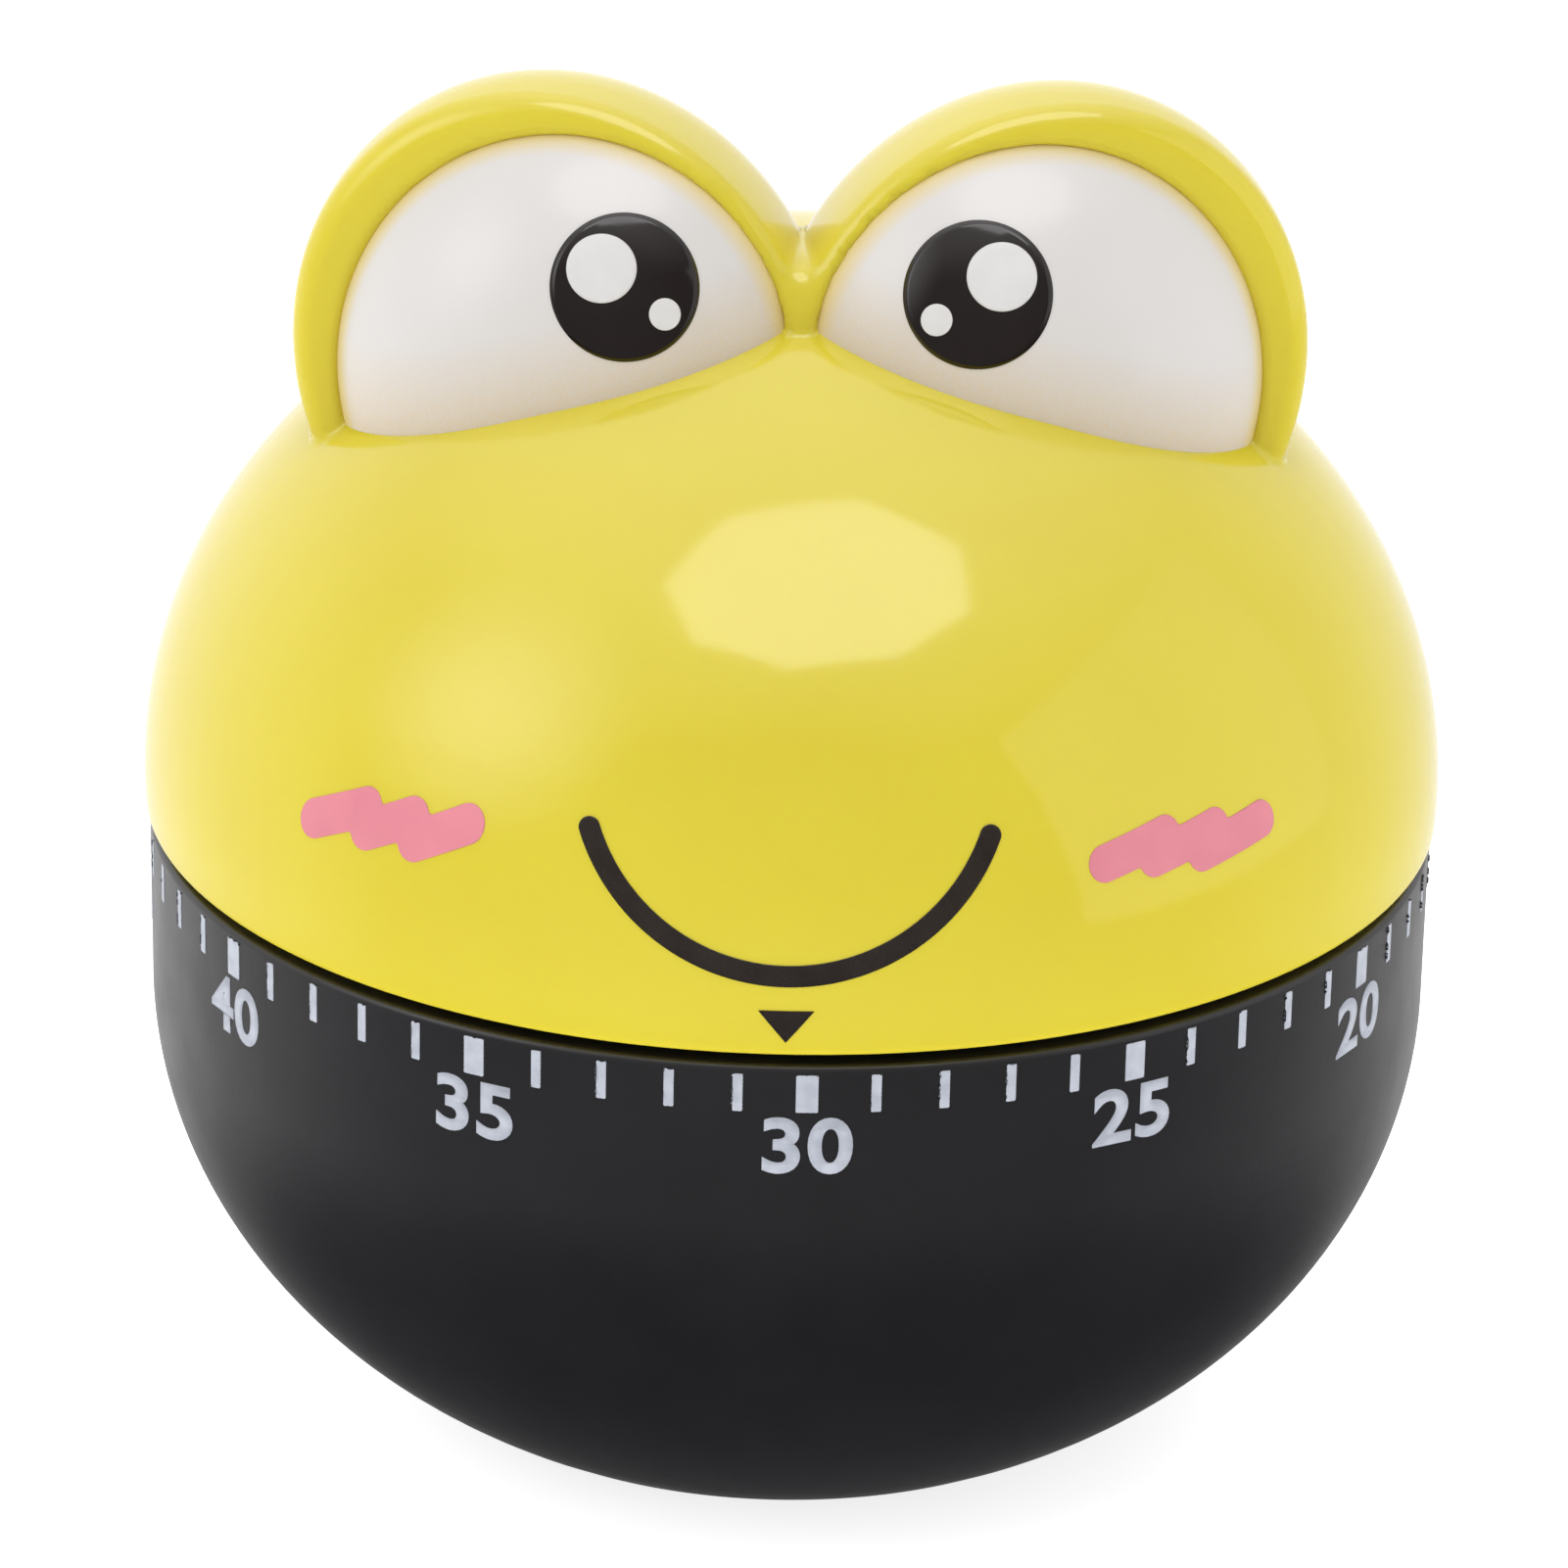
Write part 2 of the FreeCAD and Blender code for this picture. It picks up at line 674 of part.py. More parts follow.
def make_head():
    shell = cut("head_hollow", head_outside("outside"), head_inside("inside"))
    boss = cylinder("socket_boss", "dims.socket_radius", "dims.socket_bottom", "dims.dome_rise")
    ribs = []
    for i in range(4):
        rib = primitive("Box", f"rib_{i}", Length="dims.rib_reach", Width="dims.rib",
                        Height="dims.dome_rise")
        turn = FreeCAD.Rotation(V(0, 0, 1), 90 * i)
        corner = turn.multVec(V(0, -SIZES["rib"] / 2, 0))
        rib.Placement = FreeCAD.Placement(corner + V(0, 0, SIZES["rib_bottom"]), turn)
        ribs.append(rib)
    clip = dome_form("clip", "dims.wall / 2", "dims.rim_level")
    inner = common("head_boss", fuse("boss_ribs", boss, *ribs), clip)
    bore = cylinder("socket_bore", "dims.main_neck + dims.fit_gap", "dims.socket_bottom - 1",
                    "dims.socket_depth + 1")
    key = primitive("Box", "socket_flat", Length="4 * dims.main_neck", Width="dims.main_neck",
                    Height="dims.socket_depth + 2")
    flat_side = SIZES["neck_flat"] + SIZES["fit_gap"]
    key.Placement.Base = V(-2 * SIZES["main_neck"], flat_side, SIZES["socket_bottom"] - 1)
    socket = cut("socket_d", bore, key)
    return part("head_shell", cut("head_shell", fuse("head_solid", shell, inner), socket))


def make_main_arbor():
    """Arbor with the spring collet, a neck through the plate and a D end for the head."""
    body = turned("main_arbor_round", [
        ("0", "dims.lower_plate_level + dims.fit_gap"),
        ("dims.main_pivot", "dims.lower_plate_level + dims.fit_gap"),
        ("dims.main_pivot", "dims.lower_plate_level + dims.plate + dims.end_shake"),
        ("dims.collet_radius", "dims.lower_plate_level + dims.plate + dims.end_shake"),
        ("dims.collet_radius", "dims.spring_level + dims.spring_width + dims.end_shake"),
        ("dims.main_arbor", "dims.spring_level + dims.spring_width + dims.end_shake"),
        ("dims.main_arbor", "dims.upper_plate_level - dims.end_shake"),
        ("dims.main_neck", "dims.upper_plate_level - dims.end_shake"),
        ("dims.main_neck", "dims.arbor_top"),
        ("0", "dims.arbor_top"),
    ])
    flat = primitive("Box", "arbor_flat", Length="4 * dims.main_neck", Width="dims.main_neck",
                     Height="dims.arbor_top - dims.neck_top + 1")
    flat.Placement.Base = V(-2 * SIZES["main_neck"], SIZES["neck_flat"], SIZES["neck_top"])
    return part("main_arbor", cut("main_arbor", body, flat))


# ---- click and strike cam ----

CLICK_BEARING = 160


def make_click():
    """Pawl on the main wheel that lets the ratchet pass one way, with its rivet."""
    body = new_body("click_pawl", turn=CLICK_BEARING)
    pad_of(body, "click_pawl", "dims.ratchet_level", "dims.ratchet_thick", lambda sketch: outline(sketch, [
        ("dims.ratchet_radius + 0.15", "0"),
        ("dims.ratchet_radius + 1.4", "-0.9"),
        ("dims.ratchet_radius + 3.6", "-4.2"),
        ("dims.ratchet_radius + 5.2", "-3.4"),
        ("dims.ratchet_radius + 3.4", "0.4"),
    ]))
    return part("click_pawl", body)


def make_cam():
    """Disc with one notch, which frees the hammer at zero."""
    body = new_body("strike_cam", turn=SIZES["hammer_bearing"] - 180)

    def disc(sketch):
        ring(sketch, "dims.cam_radius")
        ring(sketch, "dims.main_arbor + dims.fit_gap")

    pad_of(body, "strike_cam", "dims.cam_level", "dims.cam_thick", disc)
    sketch = new_sketch(body, "cam_notch", level="dims.cam_level + dims.cam_thick")
    outline(sketch, [
        ("dims.cam_radius - dims.notch_deep", "0"),
        ("dims.cam_radius + dims.notch_deep", "-dims.notch_half"),
        ("dims.cam_radius + dims.notch_deep", "dims.notch_half"),
    ])
    notch = body.newObject("PartDesign::Pocket", "cam_notch_pocket")
    notch.Profile = sketch
    notch.Type = "Length"
    bind(notch, Length="dims.cam_thick")
    body.Tip = notch
    return part("strike_cam", body)


# ---- mainspring ----

def spiral_strip(name, end_bearing):
    """Flat spiral spring whose sizes share a name, ending outside at a bearing."""
    inner_radius = SIZES[f"{name}_inner"]
    growth = SIZES[f"{name}_outer"] - inner_radius
    turns = SIZES[f"{name}_turns"]
    steps = 14 * turns
    half = SIZES[f"{name}_strip"] / 2

    def side(offset):
        places = []
        for i in range(steps + 1):
            share = i / steps
            radius = inner_radius + growth * share + offset
            turn = math.radians(end_bearing) - 2 * math.pi * turns * (1 - share)
            places.append(V(radius * math.cos(turn), radius * math.sin(turn), SIZES[f"{name}_level"]))
        curve = Part.BSplineCurve()
        curve.interpolate(places)
        return curve.toShape(), places

    inner, inner_places = side(-half)
    outer, outer_places = side(half)
    start = Part.makeLine(outer_places[0], inner_places[0])
    end = Part.makeLine(inner_places[-1], outer_places[-1])
    face = Part.Face(Part.Wire([inner, end, outer.reversed(), start]))
    return face.extrude(V(0, 0, SIZES[f"{name}_width"]))


def strip_spring(label, name, end_bearing, x=0.0, y=0.0):
    spring = doc.addObject("Part::Feature", label)
    spring.Shape = spiral_strip(name, end_bearing)
    spring.Placement = FreeCAD.Placement(V(x, y, 0), FreeCAD.Rotation())
    return part(label, spring)


def make_mainspring():
    """Mainspring round the collet, and the post that holds its outer end."""
    bearing = PILLAR_BEARINGS[1]
    strip_spring("mainspring", "spring", bearing)
    reach = SIZES["spring_outer"] + SIZES["spring_strip"] / 2 + SIZES["spring_post"] + SIZES["fit_gap"]
    part("spring_post", turned("spring_post", [
        ("0", "dims.lower_plate_level + dims.plate"),
        ("dims.spring_post", "dims.lower_plate_level + dims.plate"),
        ("dims.spring_post", "dims.spring_level + dims.spring_width"),
        ("0", "dims.spring_level + dims.spring_width"),
    ], *around(reach, bearing)))


# ---- escapement ----

def make_escapement():
    """Anchor with two pins over the escape wheel, and the weighted bar that times it."""
    facing = bearing_of(ANCHOR, ESCAPE)
    part("anchor_staff", turned("anchor_staff", [
        ("0", "dims.lower_plate_level"),
        ("dims.pivot", "dims.lower_plate_level"),
        ("dims.pivot", "dims.lower_plate_level + dims.plate + dims.end_shake"),
        ("dims.arbor", "dims.lower_plate_level + dims.plate + dims.end_shake"),
        ("dims.arbor", "dims.upper_plate_level - dims.end_shake"),
        ("dims.pivot", "dims.upper_plate_level - dims.end_shake"),
        ("dims.pivot", "dims.upper_plate_level + dims.plate"),
        ("0", "dims.upper_plate_level + dims.plate"),
    ], *ANCHOR))
    spread = math.radians(SIZES["pin_spread"])
    pin_along = SIZES["anchor_reach"] - SIZES["pin_distance"] * math.cos(spread)
    pin_aside = SIZES["pin_distance"] * math.sin(spread)
    above = "dims.escape_level + dims.wheel_thick + dims.anchor_gap"
    anchor = new_body("anchor", *ANCHOR, facing)

    def arms(sketch):
        tip = f"{pin_along:.4f} + dims.anchor_arm"
        outline(sketch, [
            ("-dims.anchor_hub", "-dims.anchor_half"),
            (tip, f"-{pin_aside:.4f} - dims.anchor_arm"),
            (tip, f"-{pin_aside:.4f} + dims.anchor_arm"),
            ("dims.anchor_hub", "0"),
            (tip, f"{pin_aside:.4f} - dims.anchor_arm"),
            (tip, f"{pin_aside:.4f} + dims.anchor_arm"),
            ("-dims.anchor_hub", "dims.anchor_half"),
        ])
        ring(sketch, "dims.arbor + dims.fit_gap")

    pad_of(anchor, "anchor", above, "dims.anchor_thick", arms)
    part("anchor", anchor)
    turn = math.radians(facing)
    pins = []
    for i, aside in enumerate((-pin_aside, pin_aside)):
        x = ANCHOR[0] + pin_along * math.cos(turn) - aside * math.sin(turn)
        y = ANCHOR[1] + pin_along * math.sin(turn) + aside * math.cos(turn)
        pins.append(turned(f"anchor_pin_{i}", [
            ("0", "dims.escape_level - dims.anchor_gap"),
            ("dims.pin_radius", "dims.escape_level - dims.anchor_gap"),
            ("dims.pin_radius", above),
            ("0", above),
        ], x, y))
    group("anchor_pins", pins)
    bar = new_body("inertia_bar", *ANCHOR, 0.0)

    def weighted(sketch):
        half = "dims.bar_length / 2"
        waist = f"{half} - dims.bar_weight"
        outline(sketch, [
            (f"-{half}", "-dims.bar_width"),
            (f"-({waist})", "-dims.bar_width"),
            (f"-({waist})", "-dims.bar_width / 2"),
            (waist, "-dims.bar_width / 2"),
            (waist, "-dims.bar_width"),
            (half, "-dims.bar_width"),
            (half, "dims.bar_width"),
            (waist, "dims.bar_width"),
            (waist, "dims.bar_width / 2"),
            (f"-({waist})", "dims.bar_width / 2"),
            (f"-({waist})", "dims.bar_width"),
            (f"-{half}", "dims.bar_width"),
        ])
        ring(sketch, "dims.arbor + dims.fit_gap")

    pad_of(bar, "inertia_bar", "dims.bar_level", "dims.bar_thick", weighted)
    part("inertia_bar", bar)


# ---- bell and hammer ----

def make_bell():
    """Steel cup on a post under the lower plate."""
    body = turned("bell_cup", [
        ("dims.screw_radius + dims.fit_gap", "dims.bell_bottom"),
        ("dims.bell_radius - dims.bell_corner", "dims.bell_bottom"),
        ("dims.bell_radius", "dims.bell_bottom + dims.bell_corner"),
        ("dims.bell_radius", "dims.bell_top"),
        ("dims.bell_radius - dims.bell_wall", "dims.bell_top"),
        ("dims.bell_radius - dims.bell_wall", "dims.bell_bottom + dims.bell_corner + dims.bell_wall / 3"),
        ("dims.bell_radius - dims.bell_corner - dims.bell_wall / 3", "dims.bell_bottom + dims.bell_wall"),
        ("dims.screw_radius + dims.fit_gap", "dims.bell_bottom + dims.bell_wall"),
    ])
    part("bell_cup", body)
    part("bell_post", turned("bell_post", [
        ("dims.screw_radius + dims.fit_gap", "dims.bell_bottom + dims.bell_wall"),
        ("dims.bell_post", "dims.bell_bottom + dims.bell_wall"),
        ("dims.bell_post", "dims.lower_plate_level"),
        ("0", "dims.lower_plate_level"),
        ("0", "dims.lower_plate_level - 1"),
        ("dims.screw_radius + dims.fit_gap", "dims.lower_plate_level - 1"),
    ]))
    part("bell_screw", screw("bell_screw", 0, 0, "dims.bell_bottom", False, "5"))


def make_hammer():
    """Staff through both plates, with the arm and its weight below and the trip lever above."""
    part("hammer_staff", turned("hammer_staff", [
        ("0", "dims.hammer_level - dims.end_shake"),
        ("dims.arbor", "dims.hammer_level - dims.end_shake"),
        ("dims.arbor", "dims.upper_plate_level + dims.plate"),
        ("0", "dims.upper_plate_level + dims.plate"),
    ], *HAMMER))
    out = SIZES["hammer_circle_out"]
    reach = SIZES["hammer_reach"]
    cosine = (SIZES["hammer_circle"] ** 2 + out ** 2 - reach ** 2) / (2 * SIZES["hammer_circle"] * out)
    head = around(out, SIZES["hammer_bearing"] + math.degrees(math.acos(cosine)))
    arm = new_body("hammer_arm", *HAMMER, bearing_of(HAMMER, head))

    def blade(sketch):
        tip = "dims.hammer_reach - dims.hammer_radius - dims.end_shake"
        outline(sketch, [
            ("-dims.hub", "-dims.blade_half"),
            (tip, "-dims.blade_tip"),
            (tip, "dims.blade_tip"),
            ("-dims.hub", "dims.blade_half"),
        ])
        ring(sketch, "dims.arbor + dims.fit_gap")

    pad_of(arm, "hammer_arm", "dims.hammer_level", "dims.blade", blade)
    part("hammer_arm", arm)
    part("hammer_head", turned("hammer_head", [
        ("0", "dims.hammer_level + dims.blade / 2 - dims.hammer_tall / 2"),
        ("dims.hammer_radius", "dims.hammer_level + dims.blade / 2 - dims.hammer_tall / 2"),
        ("dims.hammer_radius", "dims.hammer_level + dims.blade / 2 + dims.hammer_tall / 2"),
        ("0", "dims.hammer_level + dims.blade / 2 + dims.hammer_tall / 2"),
    ], *head))
    lever = new_body("trip_lever", *HAMMER, SIZES["hammer_bearing"] - 180)

    def finger(sketch):
        tip = "dims.hammer_circle - dims.cam_radius - dims.trip_gap"
        outline(sketch, [
            ("-dims.hub", "-dims.blade_half"),
            (f"{tip} - dims.finger_taper", "-dims.finger_half"),
            (tip, "-dims.finger_tip"),
            (tip, "dims.finger_tip"),
            (f"{tip} - dims.finger_taper", "dims.finger_half"),
            ("-dims.hub", "dims.blade_half"),
        ])
        ring(sketch, "dims.arbor + dims.fit_gap")

    pad_of(lever, "trip_lever", "dims.trip_level", "dims.blade", finger)
    part("trip_lever", lever)
    strip_spring("hammer_spring", "return", SIZES["hammer_bearing"], *HAMMER)


def write_parts():
    """Checks every object and sub-part, then writes one STEP file for each sub-part."""
    doc.recompute()
    for obj in doc.Objects:
        if "Invalid" in obj.State or "Error" in obj.State:
            raise RuntimeError(f"{obj.Name} ({obj.Label}) failed: {obj.State}")
    for name, obj in parts.items():
        if obj.Shape.isNull() or not obj.Shape.isValid():
            raise RuntimeError(f"{name} has no valid shape")
    for name, obj in parts.items():
        obj.Shape.exportStep(f"parts/{name}.step")
        print(name, len(obj.Shape.Solids), round(obj.Shape.Volume, 1))


make_bowl()
make_deck()
screw_ring("deck_screws", "post_circle", POST_BEARINGS, "dims.deck_top", True, "8")
make_plates()
screw_ring("pillar_screws", "pillar_circle", PILLAR_BEARINGS,
           "dims.upper_plate_level + dims.plate", True, "5")
screw_ring("movement_screws", "hanger_circle", HANGER_BEARINGS, "dims.upper_plate_level", False, "3.8")
make_head()
make_main_arbor()
make_train()
make_click()
make_cam()
make_mainspring()
make_escapement()
make_bell()
make_hammer()
write_parts()
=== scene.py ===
"""Wind-up kitchen timer with a frog's head: finished meshes, prints and materials round the CAD frame.

Lengths are in millimetres until a mesh is made, then in metres. +Z is up and the face looks towards -Y.
"""
import json
import math

import bpy
import numpy as np
from mathutils import Matrix, Vector


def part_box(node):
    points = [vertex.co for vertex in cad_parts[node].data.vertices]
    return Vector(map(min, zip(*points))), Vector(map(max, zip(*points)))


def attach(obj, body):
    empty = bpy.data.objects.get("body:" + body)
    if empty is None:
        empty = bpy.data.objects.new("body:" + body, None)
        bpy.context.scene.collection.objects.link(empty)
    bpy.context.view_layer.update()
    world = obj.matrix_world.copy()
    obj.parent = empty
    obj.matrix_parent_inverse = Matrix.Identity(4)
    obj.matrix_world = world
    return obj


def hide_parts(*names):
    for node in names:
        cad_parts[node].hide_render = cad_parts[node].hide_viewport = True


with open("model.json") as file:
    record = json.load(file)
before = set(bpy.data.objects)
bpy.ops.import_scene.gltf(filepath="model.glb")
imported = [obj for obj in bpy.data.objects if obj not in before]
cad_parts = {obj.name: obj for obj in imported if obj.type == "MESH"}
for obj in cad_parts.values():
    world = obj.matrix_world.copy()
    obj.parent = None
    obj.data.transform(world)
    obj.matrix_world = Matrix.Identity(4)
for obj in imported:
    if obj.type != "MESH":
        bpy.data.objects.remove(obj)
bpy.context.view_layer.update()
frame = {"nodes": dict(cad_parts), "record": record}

MM = 0.001
NUDGE = 0.01  # step that slopes are measured over
ROUND_STEPS = 256  # flats round the turned mouldings
ARC_STEPS = 6  # flats in each rounded corner of a profile
HEAD_LOW, HEAD_HIGH = (np.array(corner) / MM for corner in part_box("head_shell"))
COLLAR_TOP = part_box("base_bowl")[1].z / MM

# Head: the upper half of an ellipsoid with two eye humps.
RIM_LEVEL = HEAD_LOW[2]
DOME_RADIUS = 32.94
DOME_RISE = 27.36
DOME_LEVEL = RIM_LEVEL + 2.06
DOME_SEMI = np.array([DOME_RADIUS, DOME_RADIUS, DOME_RISE])
WALL = 2.0
NET_LEVEL = 44.0
RIM_ROUND = 0.45

# Eyes, for the side towards +X. The hump leans outwards; its flat front faces along the eye's own axis.
HUMP_CENTRE = np.array([11.8, -2.2, 56.1])
HUMP_SEMI = np.array([13.35, 13.8, 14.65])
HUMP_LEAN = math.radians(29.0)
HUMP_FULLNESS = 1.4
LID_CENTRE = np.array([11.9, -6.2, 56.5])
LID_YAW = math.radians(11.5)
LID_TILT = math.radians(6.0)
LID_ROUND = 1.1
HUMP_CREASE = 0.3
STEM_FILL = 1.8
STEM_FRONT, STEM_BACK = -8.4, -1.5
HUMP_FILLET = 0.3
OPENING_ASIDE = -0.15
OPENING_WIDE = 11.6
OPENING_TALL = 12.2
OPENING_DEEP = 2.4
OPENING_ROUND = 0.55
ENDLESS = 1000.0

# White balls in the openings, and the round prints on them for the side towards +X: across, up and radius.
BALL_WIDER = 0.55
BALL_WIDE, BALL_TALL = OPENING_WIDE + BALL_WIDER, OPENING_TALL + BALL_WIDER
BALL_EDGE = -1.3
BALL_BULGE = 7.0
BALL_FLATNESS = 2.3
BALL_SHOULDER = 0.75
BALL_FLOOR = -OPENING_DEEP - 0.2
PUPIL = (-3.83, 6.02, 3.72)
GLINT_LARGE = (-2.58, 6.81, 1.74)
GLINT_SMALL = (-5.83, 4.70, 0.8)

# Bowl: an elliptical belly under an almost straight collar.
BOWL_RADIUS = 32.47
BOWL_RISE = 26.4
BOWL_LEVEL = 22.27
COLLAR_RADIUS = 32.6
POST_BEARINGS = (90, 210, 330)

# Socket inside the head that the movement's D-shaped arbor end fits, and the ribs that hold it.
SOCKET_LOW = 33.4
SOCKET_RADIUS = 4.6
SOCKET_DEEP = 12.0
BORE_RADIUS = 2.05
BORE_FLAT = 1.25
RIB_THICK = 1.2
RIB_REACH = 20.0
RIB_LOW = 38.0

# Minute scale round the collar.
TICK_TOP = 30.2
TICK_TALL = 2.0
TICK_WIDE = 0.5
FIVE_WIDE = 1.1
DIGIT_TALL = 3.05
DIGIT_DROP = 0.27
DIGIT_STRETCH = 1.12
PRINT_LIFT = 0.03
PRINT_THICK = 0.06
SCALE_TURN = math.radians(1.95)
GLINT_LIFT = 1.6 * PRINT_LIFT
PRESS_TILT = math.radians(22.8)
INK_RIPPLE = 0.012


# ---- meshes ----

def unit(vectors):
    return vectors / np.maximum(np.linalg.norm(vectors, axis=-1, keepdims=True), 1e-12)


def mesh_object(name, points, faces, material, body, normals=None, node=None):
    """Makes one piece from points in millimetres and lists of corners, riding on a body."""
    mesh = bpy.data.meshes.new(name)
    mesh.from_pydata((np.asarray(points) * MM).tolist(), [], [list(map(int, f)) for f in faces])
    mesh.polygons.foreach_set("use_smooth", [True] * len(mesh.polygons))
    mesh.update()
    if normals is not None:
        mesh.normals_split_custom_set_from_vertices(np.asarray(normals).tolist())
    mesh.materials.append(material)
    piece = bpy.data.objects.new(name, mesh)
    bpy.context.scene.collection.objects.link(piece)
    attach(piece, body)
    if node:
        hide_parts(node)
    return piece


def solidify(piece, thick):
    """Gives an open sheet its thickness inwards, so that it is a closed solid."""
    shell = piece.modifiers.new("thickness", "SOLIDIFY")
    shell.thickness = thick * MM
    shell.offset = -1.0
    return piece


def rounded(corners):
    """Outline through (x, y, radius) corners, each corner with a radius turned into an arc."""
    places = []
    befores, afters = [corners[-1]] + corners[:-1], corners[1:] + corners[:1]
    for before, (x, y, radius), after in zip(befores, corners, afters):
        here = np.array([x, y])
        if radius == 0:
            places.append(here)
            continue
        back, on = unit(np.array(before[:2]) - here), unit(np.array(after[:2]) - here)
        half = math.acos(np.clip(back @ on, -1, 1)) / 2
        reach = radius / math.tan(half)
        centre = here + unit(back + on) * radius / math.sin(half)
        start, end = here + back * reach - centre, here + on * reach - centre
        full = math.pi - 2 * half
        for i in range(ARC_STEPS + 1):
            share = i / ARC_STEPS
            spoke = (start * math.sin((1 - share) * full) + end * math.sin(share * full)) / math.sin(full)
            places.append(centre + spoke)
    return np.array(places)


def profile_normals(places):
    """Normal to the right of each point of a profile, the longer of its two runs counting for more."""
    after = np.roll(places, -1, axis=0) - places
    after[-1] = 0
    runs = np.stack([after[:, 1], -after[:, 0]], 1)
    return unit(runs + np.roll(runs, 1, axis=0))


def lathe(places, segments, capped=True):
    """Points, faces and normals of a (radius, level) profile turned round the axis, with or without caps."""
    turns = np.arange(segments) * 2 * math.pi / segments
    cos, sin = np.cos(turns)[:, None], np.sin(turns)[:, None]

    def spin(pairs):
        return np.stack([pairs[:, 0] * cos, pairs[:, 0] * sin, pairs[:, 1] + 0 * cos], -1)

    count = len(places)
    faces = []
    for i in range(segments):
        a, b = i * count, (i + 1) % segments * count
        faces += [(a + j, b + j, b + j + 1, a + j + 1) for j in range(count - 1)]
    if capped:
        faces.append(tuple(i * count for i in reversed(range(segments))))
        faces.append(tuple((i + 1) * count - 1 for i in range(segments)))
    return spin(places).reshape(-1, 3), faces, spin(profile_normals(places)).reshape(-1, 3)


def slab(outline, thick):
    """Points, faces and normals of a flat plate: an outline in the XZ plane, made thick along Y."""
    count = len(outline)
    flat = np.stack([outline[:, 0], 0 * outline[:, 0], outline[:, 1]], 1)
    after = np.roll(outline, -1, axis=0) - outline
    out = unit(np.stack([after[:, 1], 0 * after[:, 0], -after[:, 0]], 1))
    step = np.array([0, thick / 2, 0])
    starts, ends = flat, np.roll(flat, -1, axis=0)
    points = np.concatenate([flat - step, flat + step,
                             starts - step, ends - step, ends + step, starts + step])
    normals = np.concatenate([0 * flat - [0, 1, 0], 0 * flat + [0, 1, 0], out, out, out, out])
    faces = [tuple(range(count)), tuple(range(2 * count - 1, count - 1, -1))]
    faces += [tuple((2 + k) * count + i for k in (3, 2, 1, 0)) for i in range(count)]
    return points, faces, normals


def fan(rings, spokes):
    """Faces of a disc: a middle point, then rings of points, each ring numbered round the spokes."""
    faces = []
    for j in range(spokes):
        k = (j + 1) % spokes
        faces.append((0, 1 + j, 1 + k))
        for i in range(rings - 1):
            a, b = 1 + i * spokes, 1 + (i + 1) * spokes
            faces.append((a + j, b + j, b + k, a + k))
    return faces


def join(*meshes):
    """One mesh from several (points, faces, normals)."""
    points, faces, normals, start = [], [], [], 0
    for more_points, more_faces, more_normals in meshes:
        points.append(more_points)
        normals.append(more_normals)
        faces += [tuple(c + start for c in f) for f in more_faces]
        start += len(more_points)
    return np.concatenate(points), faces, np.concatenate(normals)


# ---- implicit surfaces ----

def surface_nets(field, xs, ys, zs):
    """Quads where a field changes sign on a grid whose spacing may be uneven."""
    grid = np.stack(np.meshgrid(xs, ys, zs, indexing="ij"), -1)
    values = field(grid.reshape(-1, 3)).reshape(grid.shape[:3])
    inside = values < 0
    size = tuple(n - 1 for n in inside.shape)
    offsets = [(i, j, k) for i in (0, 1) for j in (0, 1) for k in (0, 1)]
    total = sum(inside[tuple(slice(o, o + n) for o, n in zip(offset, size))].astype(np.int8)
                for offset in offsets)
    active = (total > 0) & (total < 8)
    cells = np.argwhere(active)
    index = np.full(size, -1)
    index[active] = np.arange(len(cells))
    sums, counts = np.zeros((len(cells), 3)), np.zeros(len(cells))
    for offset in offsets:
        for axis in range(3):
            if offset[axis]:
                continue
            step = np.array(offset)
            low = tuple((cells + step).T)
            step[axis] = 1
            high = tuple((cells + step).T)
            crossed = inside[low] != inside[high]
            share = values[low][crossed] / (values[low][crossed] - values[high][crossed])
            run = grid[high][crossed] - grid[low][crossed]
            sums[crossed] += grid[low][crossed] + run * share[:, None]
            counts[crossed] += 1
    quads = []
    for axis in range(3):
        lead = [slice(1, -1)] * 3
        lead[axis] = slice(0, -1)
        following = list(lead)
        following[axis] = slice(1, None)
        here, there = inside[tuple(lead)], inside[tuple(following)]
        edges = np.argwhere(here != there)
        outwards = here[tuple(edges.T)]
        start = edges + (np.arange(3) != axis)
        aside, across = np.eye(3, dtype=int)[[(axis + 1) % 3, (axis + 2) % 3]]
        corners = [start - aside - across, start - across, start, start - aside]
        quad = np.stack([index[tuple(c.T)] for c in corners], 1)
        quad[~outwards] = quad[~outwards][:, ::-1]
        quads.append(quad)
    return sums / counts[:, None], np.concatenate(quads)


def gradient(field, points):
    moves = np.eye(points.shape[1]) * NUDGE
    return np.stack([field(points + m) - field(points - m) for m in moves], 1) / (2 * NUDGE)


def settle(field, points, rounds=5, longest=0.3):
    """Moves points to where the field is zero, by no more than the longest step in each round."""
    for _ in range(rounds):
        slope = gradient(field, points)
        move = -field(points)[:, None] * slope / np.maximum((slope ** 2).sum(1, keepdims=True), 1e-6)
        far = np.linalg.norm(move, axis=1, keepdims=True)
        points = points + move * np.minimum(1, longest / np.maximum(far, 1e-9))
    return points


def open_edge(quads):
    """Corners on the open edge of a mesh of quads."""
    ends = np.concatenate([quads[:, [i, (i + 1) % 4]] for i in range(4)])
    top = ends.max() + 1
    keys = ends[:, 0] * top + ends[:, 1]
    back = ends[:, 1] * top + ends[:, 0]
    return np.unique(ends[~np.isin(keys, back)])


